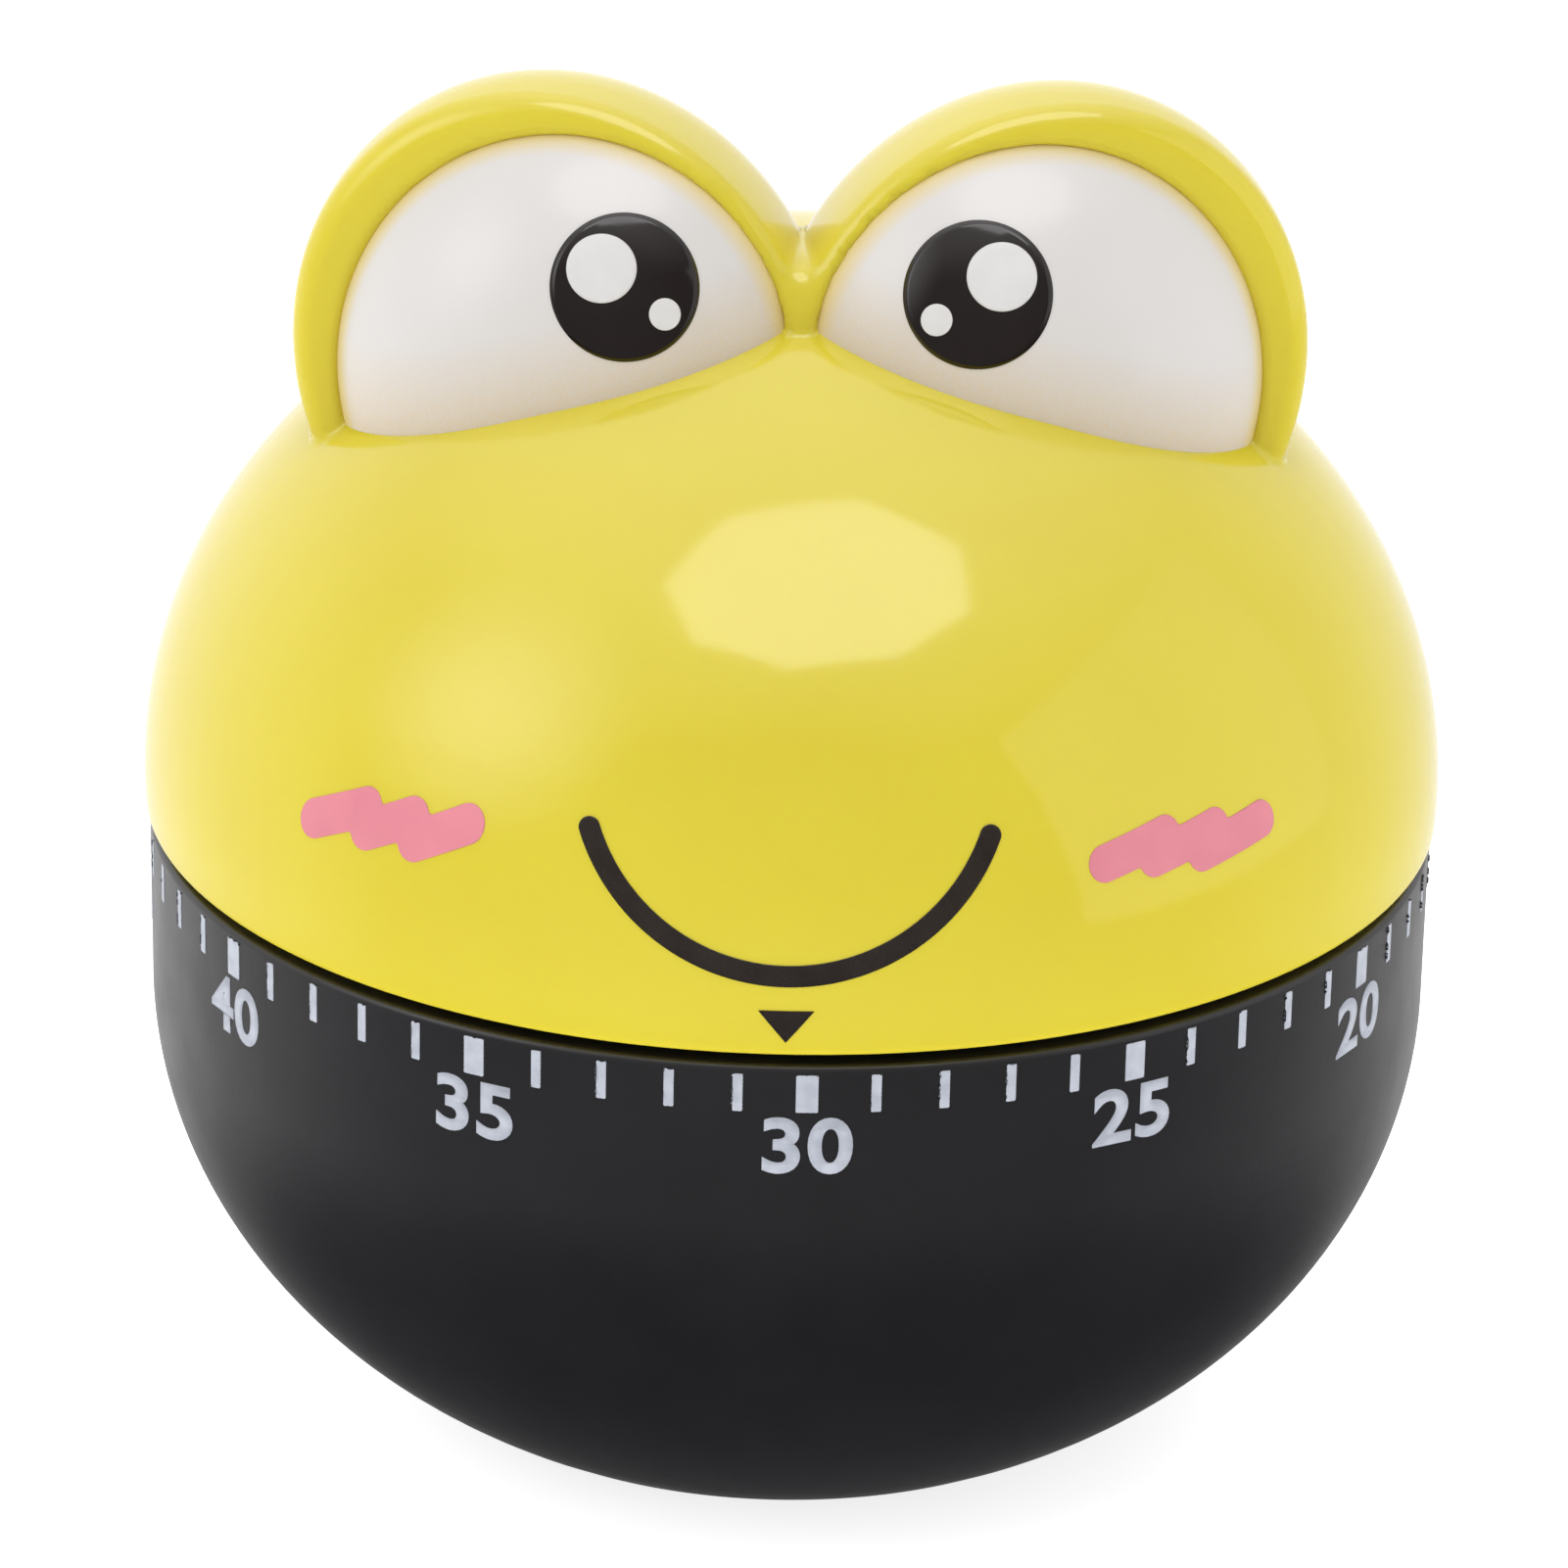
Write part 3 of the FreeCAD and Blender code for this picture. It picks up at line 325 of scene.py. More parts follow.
def zip_loops(upper, lower, points):
    """Triangles between two loops of corners round the axis, facing away from it."""
    def in_order(loop):
        bearing = np.arctan2(points[loop, 1], points[loop, 0])
        order = np.argsort(bearing)
        return [int(c) for c in np.array(loop)[order]], list(bearing[order])

    (a, a_at), (b, b_at) = in_order(upper), in_order(lower)
    a_at.append(a_at[0] + 2 * math.pi)
    b_at.append(b_at[0] + 2 * math.pi)
    i = j = 0
    triangles = []
    while i < len(a) or j < len(b):
        if j == len(b) or (i < len(a) and a_at[i + 1] <= b_at[j + 1]):
            triangles.append((a[(i + 1) % len(a)], a[i], b[j % len(b)]))
            i += 1
        else:
            triangles.append((b[j % len(b)], b[(j + 1) % len(b)], a[i % len(a)]))
            j += 1
    return triangles


def ellipsoid(points, centre, semi):
    """Distance to an ellipsoid, close to true near its surface."""
    scaled = (points - centre) / semi
    near = np.linalg.norm(scaled, axis=1)
    slope = np.linalg.norm(scaled / semi, axis=1)
    return near * (near - 1) / np.maximum(slope, 1e-9)


def blended_union(a, b, radius):
    """Union of two distances with a fillet of some radius between them."""
    reach = np.hypot(np.maximum(radius - a, 0), np.maximum(radius - b, 0))
    return np.maximum(radius, np.minimum(a, b)) - reach


def blended_overlap(a, b, radius):
    """What two distances share, with its edge rounded."""
    return -blended_union(-a, -b, radius)


# ---- head ----

def lid_axes(side):
    """Right, up and outward directions of an eye's own frame."""
    out = np.array([math.sin(side * LID_YAW) * math.cos(LID_TILT),
                    -math.cos(LID_YAW) * math.cos(LID_TILT), math.sin(LID_TILT)])
    right = np.array([math.cos(LID_YAW), math.sin(side * LID_YAW), 0.0])
    return right, np.cross(out, right), out


def lid_place(side):
    return LID_CENTRE * np.array([side, 1, 1]) + lid_axes(side)[0] * side * OPENING_ASIDE


def in_lid(points, side):
    """Points in an eye's frame: right, up and out from the centre of its opening."""
    return (points - lid_place(side)) @ np.stack(lid_axes(side), 1)


def from_lid(local, side):
    return lid_place(side) + local @ np.stack(lid_axes(side))


def hump_distance(points, side, inset):
    """Distance to an eye's hump, an ellipsoid whose front half is fuller."""
    turn = side * HUMP_LEAN
    local = points - HUMP_CENTRE * np.array([side, 1, 1])
    right = np.array([math.cos(turn), 0.0, -math.sin(turn)])
    up = np.array([math.sin(turn), 0.0, math.cos(turn)])
    semi = HUMP_SEMI - inset
    deep = semi[1] * (np.maximum(-local[:, 1], 0) / semi[1]) ** HUMP_FULLNESS
    fuller = np.stack([local @ right, np.where(local[:, 1] < 0, -deep, local[:, 1]), local @ up], 1)
    return ellipsoid(fuller, np.zeros(3), semi)


def opening_distance(local):
    """Distance to the elliptical wall of an eye's opening."""
    return ellipsoid(local * [1, 1, 0], np.zeros(3), np.array([OPENING_WIDE, OPENING_TALL, ENDLESS]))


def dome_distance(points, inset):
    return ellipsoid(points, np.array([0, 0, DOME_LEVEL]), DOME_SEMI - inset)


def head_outside(points):
    """Distance to the moulding's outside. The crease between the humps is filled in front to make a stem."""
    fronts, wells = [], []
    for side in (-1, 1):
        local = in_lid(points, side)
        fronts.append(blended_overlap(hump_distance(points, side, 0), local[:, 2], LID_ROUND))
        wells.append(np.maximum(opening_distance(local), -local[:, 2] - OPENING_DEEP))
    back = np.clip((points[:, 1] - STEM_FRONT) / (STEM_BACK - STEM_FRONT), 0, 1)
    fill = STEM_FILL + (HUMP_CREASE - STEM_FILL) * back * back * (3 - 2 * back)
    humps = blended_overlap(blended_union(*fronts, fill), -np.minimum(*wells), OPENING_ROUND)
    return blended_union(dome_distance(points, 0), humps, HUMP_FILLET)


def head_inside(points):
    """Distance to the hollow inside the moulding."""
    humps = []
    for side in (-1, 1):
        lid = in_lid(points, side)[:, 2] + OPENING_DEEP + WALL
        humps.append(blended_overlap(hump_distance(points, side, WALL), lid, 1.0))
    return blended_union(dome_distance(points, WALL), blended_union(*humps, 1.0), 1.5)


def spaced(low, high, middle_low, middle_high, fine, coarse):
    """Grid places that lie closer together in the middle."""
    parts = [np.arange(low, middle_low, coarse), np.arange(middle_low, middle_high, fine),
             np.arange(middle_high, high + coarse, coarse)]
    return np.concatenate(parts)


def dome_profile(inset, level):
    """Radius of the dome, taken in by an inset, at a level."""
    radius, rise = DOME_RADIUS - inset, DOME_RISE - inset
    return radius * math.sqrt(1 - ((level - DOME_LEVEL) / rise) ** 2)


def dome_level_at(inset, radius):
    """Level of the dome, taken in by an inset, at a distance from the axis."""
    return DOME_LEVEL + (DOME_RISE - inset) * math.sqrt(1 - (radius / (DOME_RADIUS - inset)) ** 2)


def head_socket():
    """The D-shaped socket in the middle of the head and its four ribs, as separate closed shells."""
    top = dome_level_at(WALL / 2, SOCKET_RADIUS)
    bore_top = SOCKET_LOW + SOCKET_DEEP
    boss = rounded([(BORE_RADIUS, bore_top, 0), (BORE_RADIUS, SOCKET_LOW, 0.2),
                    (SOCKET_RADIUS, SOCKET_LOW, 0.3), (SOCKET_RADIUS, top, 0)])
    points, faces, normals = lathe(boss, 64)
    in_bore = np.hypot(points[:, 0], points[:, 1]) < BORE_RADIUS + 0.01
    points[in_bore, 1] = np.minimum(points[in_bore, 1], BORE_FLAT)
    shells = [(points, faces, normals)]
    reaches = np.linspace(SOCKET_RADIUS - 0.4, RIB_REACH, 9)
    along_dome = [(r, dome_level_at(WALL / 2, r)) for r in reaches]
    outline = np.array([(reaches[0], RIB_LOW)] + along_dome + [(RIB_REACH, RIB_LOW)])
    points, faces, normals = slab(outline, RIB_THICK)
    for quarter in range(4):
        turn = np.array(Matrix.Rotation(quarter * math.pi / 2, 3, "Z")).T
        shells.append((points @ turn, faces, normals @ turn))
    return shells


def make_head(material):
    """The yellow moulding: netted upper part, turned lower part and rim, netted lining."""
    fine, coarse = ((0.36, 0.75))
    reach, top, lids_low, lining_step = 31.5, HEAD_HIGH[2] + 1.0, 46, 1.3
    xs = spaced(-reach, reach, -25.5, 25.5, fine, coarse)
    ys = spaced(-reach, reach, -15.5, -1.0, fine, coarse)
    zs = np.concatenate([np.arange(NET_LEVEL, lids_low, coarse), np.arange(lids_low, top, fine * 1.1)])
    outer, outer_quads = surface_nets(head_outside, xs, ys, zs)
    outer = settle(head_outside, outer)
    rough = np.arange(-reach, reach + 0.5, lining_step)
    inner, inner_quads = surface_nets(head_inside, rough, rough, np.arange(NET_LEVEL, top, lining_step))
    inner = settle(head_inside, inner)

    rim_top = RIM_LEVEL + 1.0
    levels = np.linspace(NET_LEVEL - 0.5, rim_top, 16)
    wall_outside = [(dome_profile(0, z), z) for z in levels]
    rim = rounded([(dome_profile(0, rim_top), rim_top, 0),
                   (dome_profile(0, RIM_LEVEL), RIM_LEVEL, RIM_ROUND),
                   (dome_profile(WALL, RIM_LEVEL), RIM_LEVEL, RIM_ROUND),
                   (dome_profile(WALL, rim_top), rim_top, 0)])
    wall_inside = [(dome_profile(WALL, z), z) for z in levels[::-1]]
    places = np.array(wall_outside[:-1] + [tuple(p) for p in rim] + wall_inside[1:])
    turned, turned_quads, turned_normals = lathe(places[::-1], ROUND_STEPS, capped=False)
    turned_count = len(places)

    points = np.concatenate([outer, turned, inner])
    normals = np.concatenate([unit(gradient(head_outside, outer)), turned_normals,
                              -unit(gradient(head_inside, inner))])
    turned_start, inner_start = len(outer), len(outer) + len(turned)
    top_ring = [turned_start + i * turned_count + turned_count - 1 for i in range(ROUND_STEPS)]
    lining_ring = [turned_start + i * turned_count for i in range(ROUND_STEPS)]
    outer_edge, inner_edge = open_edge(outer_quads), open_edge(inner_quads) + inner_start
    faces = [tuple(q) for q in outer_quads]
    faces += [tuple(c + turned_start for c in q) for q in turned_quads]
    faces += [tuple(int(c) + inner_start for c in q[::-1]) for q in inner_quads]
    faces += zip_loops(outer_edge, top_ring, points)
    faces += [t[::-1] for t in zip_loops(inner_edge, lining_ring, points)]
    points, faces, normals = join((points, faces, normals), *head_socket())
    return mesh_object("head_moulding", points, faces, material, "head", normals,
                       "head_shell")


def ball_height(flat):
    """How far the white ball stands out of the lid's plane, across and up from the opening's centre."""
    share = np.minimum(np.hypot(flat[:, 0] / BALL_WIDE, flat[:, 1] / BALL_TALL), 1)
    return BALL_EDGE + BALL_BULGE * np.maximum(1 - share ** BALL_FLATNESS, 0) ** BALL_SHOULDER


def ball_normal(flat):
    return unit(np.concatenate([-gradient(ball_height, flat), np.ones((len(flat), 1))], 1))


def make_eyeball(side, name, material):
    """The white ball that bulges out of an eye's opening, closed behind by a flat back."""
    rings, spokes = 44, 160
    turns = np.arange(spokes) * 2 * math.pi / spokes
    rim = np.stack([BALL_WIDE * np.cos(turns), BALL_TALL * np.sin(turns)], 1)
    shares = np.sin(np.arange(1, rings + 1) / rings * math.pi / 2)
    flat = np.concatenate([np.zeros((1, 2)), (shares[:, None, None] * rim).reshape(-1, 2)])
    front = np.concatenate([flat, ball_height(flat)[:, None]], 1)
    just_inside = 0.998
    back = np.concatenate([rim, np.full((spokes, 1), BALL_FLOOR)], 1)
    points = np.concatenate([front, back, [[0, 0, BALL_FLOOR]]])
    normals = np.concatenate([ball_normal(flat * just_inside), unit(back * [1, 1, 0]), [[0, 0, -1.0]]])
    faces = fan(rings + 1, spokes)
    faces += [(len(front) + (j + 1) % spokes, len(front) + j, len(points) - 1) for j in range(spokes)]
    return mesh_object(name, from_lid(points, side), faces, material, "head",
                       normals @ np.stack(lid_axes(side)))


# ---- bowl ----

def bowl_radius(level):
    """Radius of the bowl's outside at a level."""
    belly = BOWL_RADIUS * np.sqrt(np.maximum(1 - ((level - BOWL_LEVEL) / BOWL_RISE) ** 2, 0))
    share = (level - BOWL_LEVEL) / (COLLAR_TOP - BOWL_LEVEL)
    return np.where(level < BOWL_LEVEL, belly, BOWL_RADIUS + (COLLAR_RADIUS - BOWL_RADIUS) * share)


def bowl_post(bearing):
    """Screw post of the bowl, its foot following the middle of the bowl's wall."""
    high, tall, radius, hole, hole_deep, circle = 28.3, 10, 3.2, 1.1, 7.0, 25.5
    turn = math.radians(bearing)
    post = rounded([(hole, high - hole_deep, 0), (hole, high, 0.1),
                    (radius, high, 0.3), (radius, high - tall, 0)])
    points, faces, normals = lathe(post, 48)
    points += [circle * math.cos(turn), circle * math.sin(turn), 0]
    foot = points[:, 2] == high - tall
    wall_middle = (np.hypot(*points[foot, :2].T) + WALL / 2) / BOWL_RADIUS
    points[foot, 2] = BOWL_LEVEL - BOWL_RISE * np.sqrt(1 - wall_middle ** 2)
    return points, faces, normals


def make_bowl(material):
    """The black moulding, with a shallow ring recess underneath and the posts for the cover's screws."""
    foot = float(bowl_radius(0.0))
    recess_in, recess_out, recess_deep = 0.42 * foot, 0.8 * foot, 0.35

    def wall(low, high, count, inset=0.0):
        return [(float(bowl_radius(z)) - inset, z, 0) for z in np.linspace(low, high, count)]

    belly = wall(1.0, BOWL_LEVEL, 34)
    collar = wall(BOWL_LEVEL + 1, COLLAR_TOP - 1.2, 8)
    inside = wall(BOWL_LEVEL, WALL + 2.5, 20, WALL)
    thin, floor = COLLAR_RADIUS - WALL, WALL + 0.2
    outline = rounded(
        [(0.5, 0, 0), (recess_in, 0, 0.15), (recess_in, recess_deep, 0.15),
         (recess_out, recess_deep, 0.15), (recess_out, 0, 0.15), (foot, 0, 0.8)]
        + belly + collar
        + [(COLLAR_RADIUS, COLLAR_TOP, 0.35), (thin, COLLAR_TOP, 0.2), (thin, COLLAR_TOP - 2.4, 0)]
        + inside + [(foot, floor, 0.6), (0.5, floor, 0)])
    posts = [bowl_post(bearing) for bearing in POST_BEARINGS]
    points, faces, normals = join(lathe(outline, ROUND_STEPS), *posts)
    return mesh_object("bowl_moulding", points, faces, material, "base", normals,
                       "base_bowl")


# ---- prints ----

def print_sheet(field, wide, tall, place, step=0.1):
    """Points and quads of a flat print, where a field of (across, up) is negative, laid on a surface."""
    xs, ys = np.arange(wide[0], wide[1] + step, step), np.arange(tall[0], tall[1] + step, step)
    flat = np.stack(np.meshgrid(xs, ys, indexing="ij"), -1).reshape(-1, 2)
    inside = (field(flat) < 0).reshape(len(xs), len(ys))
    number = np.arange(len(flat)).reshape(inside.shape)
    corners = np.stack([number[:-1, :-1], number[1:, :-1], number[1:, 1:], number[:-1, 1:]], -1)
    corners = corners.reshape(-1, 4)
    quads = corners[inside.reshape(-1)[corners].any(1)]
    used, quads = np.unique(quads, return_inverse=True)
    flat = flat[used]
    loose = ~inside.reshape(-1)[used]
    flat[loose] = settle(field, flat[loose], rounds=6, longest=math.inf)
    points, normals = place(flat)
    return points + normals * PRINT_LIFT, quads.reshape(-1, 4), normals


def on_bowl(flat):
    """Across is the distance round the collar from the front; up is the level."""
    turn = flat[:, 0] / COLLAR_RADIUS
    radius = bowl_radius(flat[:, 1])
    slope = (bowl_radius(flat[:, 1] + NUDGE) - bowl_radius(flat[:, 1] - NUDGE)) / (2 * NUDGE)
    points = np.stack([radius * np.sin(turn), -radius * np.cos(turn), flat[:, 1]], 1)
    return points, unit(np.stack([np.sin(turn), -np.cos(turn), -slope], 1))


def on_dome(flat):
    """Across is the distance round the widest part of the dome from the front; up is the level."""
    turn = flat[:, 0] / DOME_RADIUS
    radius = DOME_RADIUS * np.sqrt(1 - ((flat[:, 1] - DOME_LEVEL) / DOME_RISE) ** 2)
    points = np.stack([radius * np.sin(turn), -radius * np.cos(turn), flat[:, 1]], 1)
    return points, unit((points - [0, 0, DOME_LEVEL]) / DOME_SEMI ** 2)


def pressed(flat):
    """Artwork pressed onto the dome from in front and above, across along X."""
    start = np.array([0, 0, COLLAR_TOP]) + flat[:, :1] * [1, 0, 0]
    start = start + flat[:, 1:] * [0, math.sin(PRESS_TILT), math.cos(PRESS_TILT)]
    way = np.array([0, math.cos(PRESS_TILT), -math.sin(PRESS_TILT)])
    from_centre = (start - [0, 0, DOME_LEVEL]) / DOME_SEMI
    way_scaled = way / DOME_SEMI
    a = way_scaled @ way_scaled
    b = from_centre @ way_scaled
    c = (from_centre ** 2).sum(1) - 1
    points = start + ((-b - np.sqrt(np.maximum(b * b - a * c, 0))) / a)[:, None] * way
    return points, unit((points - [0, 0, DOME_LEVEL]) / DOME_SEMI ** 2)


def stroke(flat, start, end, radius):
    """Distance to a straight stroke with round ends."""
    start, end = np.array(start), np.array(end)
    along = np.clip((flat - start) @ (end - start) / ((end - start) @ (end - start)), 0, 1)
    return np.linalg.norm(flat - start - along[:, None] * (end - start), axis=1) - radius


def block(flat, centre, wide, tall, corner=0.05):
    """Distance to a rectangle with slightly rounded corners."""
    reach = np.abs(flat - np.array(centre)) - np.array([wide / 2 - corner, tall / 2 - corner])
    return np.linalg.norm(np.maximum(reach, 0), axis=1) + np.minimum(reach.max(1), 0) - corner


def make_print(name, sheets, material, body):
    points, faces, normals = join(*sheets)
    return solidify(mesh_object(name, points, faces, material, body, normals), PRINT_THICK)


def make_smile(material):
    radius, half_width, height, reach = 10.3, 0.52, 2.1, 12
    ends = math.radians(18.0)

    def field(flat):
        local = flat - [0, height]
        turn = np.arctan2(local[:, 1], local[:, 0])
        far = np.abs(np.hypot(local[:, 0], local[:, 1]) - radius)
        below = (turn < -ends) & (turn > ends - math.pi)
        tips = [radius * np.array([s * math.cos(ends), -math.sin(ends)]) for s in (-1, 1)]
        to_tip = np.minimum(*[np.linalg.norm(local - tip, axis=1) for tip in tips])
        return np.where(below, far, to_tip) - half_width

    sheet = print_sheet(field, (-reach, reach), (height - reach, height), pressed)
    return make_print("smile_print", [sheet], material, "head")


def make_blush(material):
    """Three overlapping strokes on each cheek."""
    left = (((-26.9, 38.9), (-23.5, 40.4)), ((-23.3, 39.3), (-20.5, 40.65)), ((-20.2, 39.5), (-17.2, 41.0)))
    right = (((16.6, 39.85), (20.4, 40.6)), ((19.5, 39.6), (23.6, 40.3)), ((22.5, 39.25), (26.8, 39.9)))
    margin = 1.2
    sheets = []
    for strokes, radius in ((left, 0.97), (right, 0.9)):
        def field(flat):
            return np.min([stroke(flat, start, end, radius) for start, end in strokes], axis=0)

        edge = np.array(strokes).reshape(-1, 2)
        low, high = edge.min(0) - margin, edge.max(0) + margin
        sheets.append(print_sheet(field, (low[0], high[0]), (low[1], high[1]), on_dome, 0.12))
    return make_print("blush_print", sheets, material, "head")


def make_pointer(material):
    """Triangle that points down at the scale."""
    half, top, tall, margin = 1.37, RIM_LEVEL + 2.5, 1.7, 0.3

    def field(flat):
        across, up = np.abs(flat[:, 0]), flat[:, 1]
        slant = (across * tall + (top - up) * half - half * tall) / math.hypot(half, tall)
        return np.maximum(up - top, slant)

    sheet = print_sheet(field, (-2, 2), (top - tall - margin, top + margin), on_dome, 0.08)
    return make_print("pointer_print", [sheet], material, "head")


def tick_place(minute):
    """Distance round the collar of a minute's mark; the numbers grow towards -X at the front."""
    return (SCALE_TURN - math.radians(6 * (minute - 30))) * COLLAR_RADIUS


def make_ticks(material):
    """Sixty minute marks with slightly rippled edges, every fifth one wider."""
    levels = (TICK_TOP - TICK_TALL - 0.2, TICK_TOP + 0.2)
    half_sheet = 0.8
    sheets = []
    for minute in range(60):
        wide = FIVE_WIDE if minute % 5 == 0 else TICK_WIDE
        centre = (tick_place(minute), TICK_TOP - TICK_TALL / 2)

        def field(flat):
            ripple = INK_RIPPLE * np.sin(31 * flat[:, 1] + minute) * np.sin(23 * flat[:, 0] + 2 * minute)
            return block(flat, centre, wide, TICK_TALL) + ripple

        width = (centre[0] - half_sheet, centre[0] + half_sheet)
        sheets.append(print_sheet(field, width, levels, on_bowl, 0.11))
    return make_print("minute_ticks", sheets, material, "base")


def make_numbers(material):
    """Numbers 0 to 55, each centred under its tick."""
    meshes = []
    for minute in range(0, 60, 5):
        text = bpy.data.curves.new(f"number_{minute}", "FONT")
        text.body = str(minute)
        text.align_x = "CENTER"
        text.size = 1.0
        text.space_character = 1.06
        text.offset = 0.028
        text.resolution_u = 6
        writing = bpy.data.objects.new(f"number_{minute}", text)
        bpy.context.scene.collection.objects.link(writing)
        evaluated = writing.evaluated_get(bpy.context.evaluated_depsgraph_get())
        flat_mesh = bpy.data.meshes.new_from_object(evaluated)
        places = np.array([v.co[:2] for v in flat_mesh.vertices])
        faces = [tuple(f.vertices) for f in flat_mesh.polygons]
        bpy.data.objects.remove(writing)
        bpy.data.meshes.remove(flat_mesh)
        tall = np.ptp(places[:, 1])
        places = (places - [0, places[:, 1].max()]) * DIGIT_TALL / tall * [DIGIT_STRETCH, 1]
        places += [tick_place(minute), TICK_TOP - TICK_TALL - DIGIT_DROP]
        points, normals = on_bowl(places)
        meshes.append((points + normals * PRINT_LIFT, faces, normals))
    return make_print("minute_numbers", meshes, material, "base")


def disc_on_ball(name, side, spot, lift, material):
    """Round print on an eyeball. The spot is across (for the side towards +X), up and radius."""
    across, up, radius = spot[0] * side, spot[1], spot[2]
    centre = np.array([[across, up]])
    way = ball_normal(centre)[0]
    middle = np.array([across, up, ball_height(centre)[0]])
    aside = unit(np.cross([0.0, 1.0, 0.0], way))
    above = np.cross(way, aside)
    rings, spokes = 12, 96
    turns = np.arange(spokes) * 2 * math.pi / spokes
    spread_out = np.cos(turns)[:, None] * aside + np.sin(turns)[:, None] * above
    reach = np.arange(1, rings + 1) / rings * radius
    points = np.concatenate([middle[None], (middle + reach[:, None, None] * spread_out).reshape(-1, 3)])
    for _ in range(12):
        points = points - ((points[:, 2] - ball_height(points[:, :2])) * way[2])[:, None] * way
    normals = ball_normal(points[:, :2])
    placed = from_lid(points + normals * lift, side)
    turned = normals @ np.stack(lid_axes(side))
    disc = mesh_object(name, placed, fan(rings, spokes), material, "head", turned)
    return solidify(disc, PRINT_THICK)


# ---- materials ----

def new_material(name, **sockets):
    """Material with a shader whose plain values are set on its own sockets."""
    made = bpy.data.materials.new(name)
    made.use_nodes = True
    shader = made.node_tree.nodes["Principled BSDF"]
    for socket, value in sockets.items():
        shader.inputs[socket.replace("_", " ")].default_value = value
    return made, made.node_tree, shader


def noise(tree, scale, detail=3.0, stretch=(1, 1, 1)):
    """Noise over the piece's own coordinates, in metres."""
    place = tree.nodes.new("ShaderNodeTexCoord")
    mapping = tree.nodes.new("ShaderNodeMapping")
    mapping.inputs["Scale"].default_value = stretch
    tree.links.new(place.outputs["Object"], mapping.inputs["Vector"])
    texture = tree.nodes.new("ShaderNodeTexNoise")
    texture.inputs["Scale"].default_value = scale
    texture.inputs["Detail"].default_value = detail
    tree.links.new(mapping.outputs["Vector"], texture.inputs["Vector"])
    return texture.outputs["Fac"]


def spread(tree, value, low, high, from_low=0.3, from_high=0.7, kind="LINEAR"):
    """A value from one range stretched over another."""
    node = tree.nodes.new("ShaderNodeMapRange")
    node.interpolation_type = kind
    limits = {"From Min": from_low, "From Max": from_high, "To Min": low, "To Max": high}
    for socket, number in limits.items():
        node.inputs[socket].default_value = number
    tree.links.new(value, node.inputs["Value"])
    return node.outputs["Result"]


def mixed(tree, share, first, second):
    """Colour between two colours or sockets."""
    node = tree.nodes.new("ShaderNodeMix")
    node.data_type = "RGBA"
    tree.links.new(share, node.inputs["Factor"])
    for index, colour in ((6, first), (7, second)):
        if isinstance(colour, tuple):
            node.inputs[index].default_value = (*colour, 1)
        else:
            tree.links.new(colour, node.inputs[index])
    return node.outputs[2]


def bump(tree, shader, value, strength, distance):
    node = tree.nodes.new("ShaderNodeBump")
    node.inputs["Strength"].default_value = strength
    node.inputs["Distance"].default_value = distance
    tree.links.new(value, node.inputs["Height"])
    tree.links.new(node.outputs["Normal"], shader.inputs["Normal"])


def finish_of(name, first, second, patch, rough, grain, depth, stretch=(1, 1, 1), **sockets):
    """Surface whose colour and gloss vary over patches, with a fine grain. Sizes are in millimetres."""
    made, tree, shader = new_material(name, **sockets)
    patches = noise(tree, 1 / (patch * MM), 4.0, stretch)
    tree.links.new(mixed(tree, spread(tree, patches, 0, 1), first, second), shader.inputs["Base Color"])
    finer = 2.3
    gloss = noise(tree, finer / (patch * MM), 5.0, stretch)
    tree.links.new(spread(tree, gloss, *rough), shader.inputs["Roughness"])
    bump(tree, shader, noise(tree, 1 / (grain * MM), 2.0, stretch), 0.5, depth * MM)
    return made


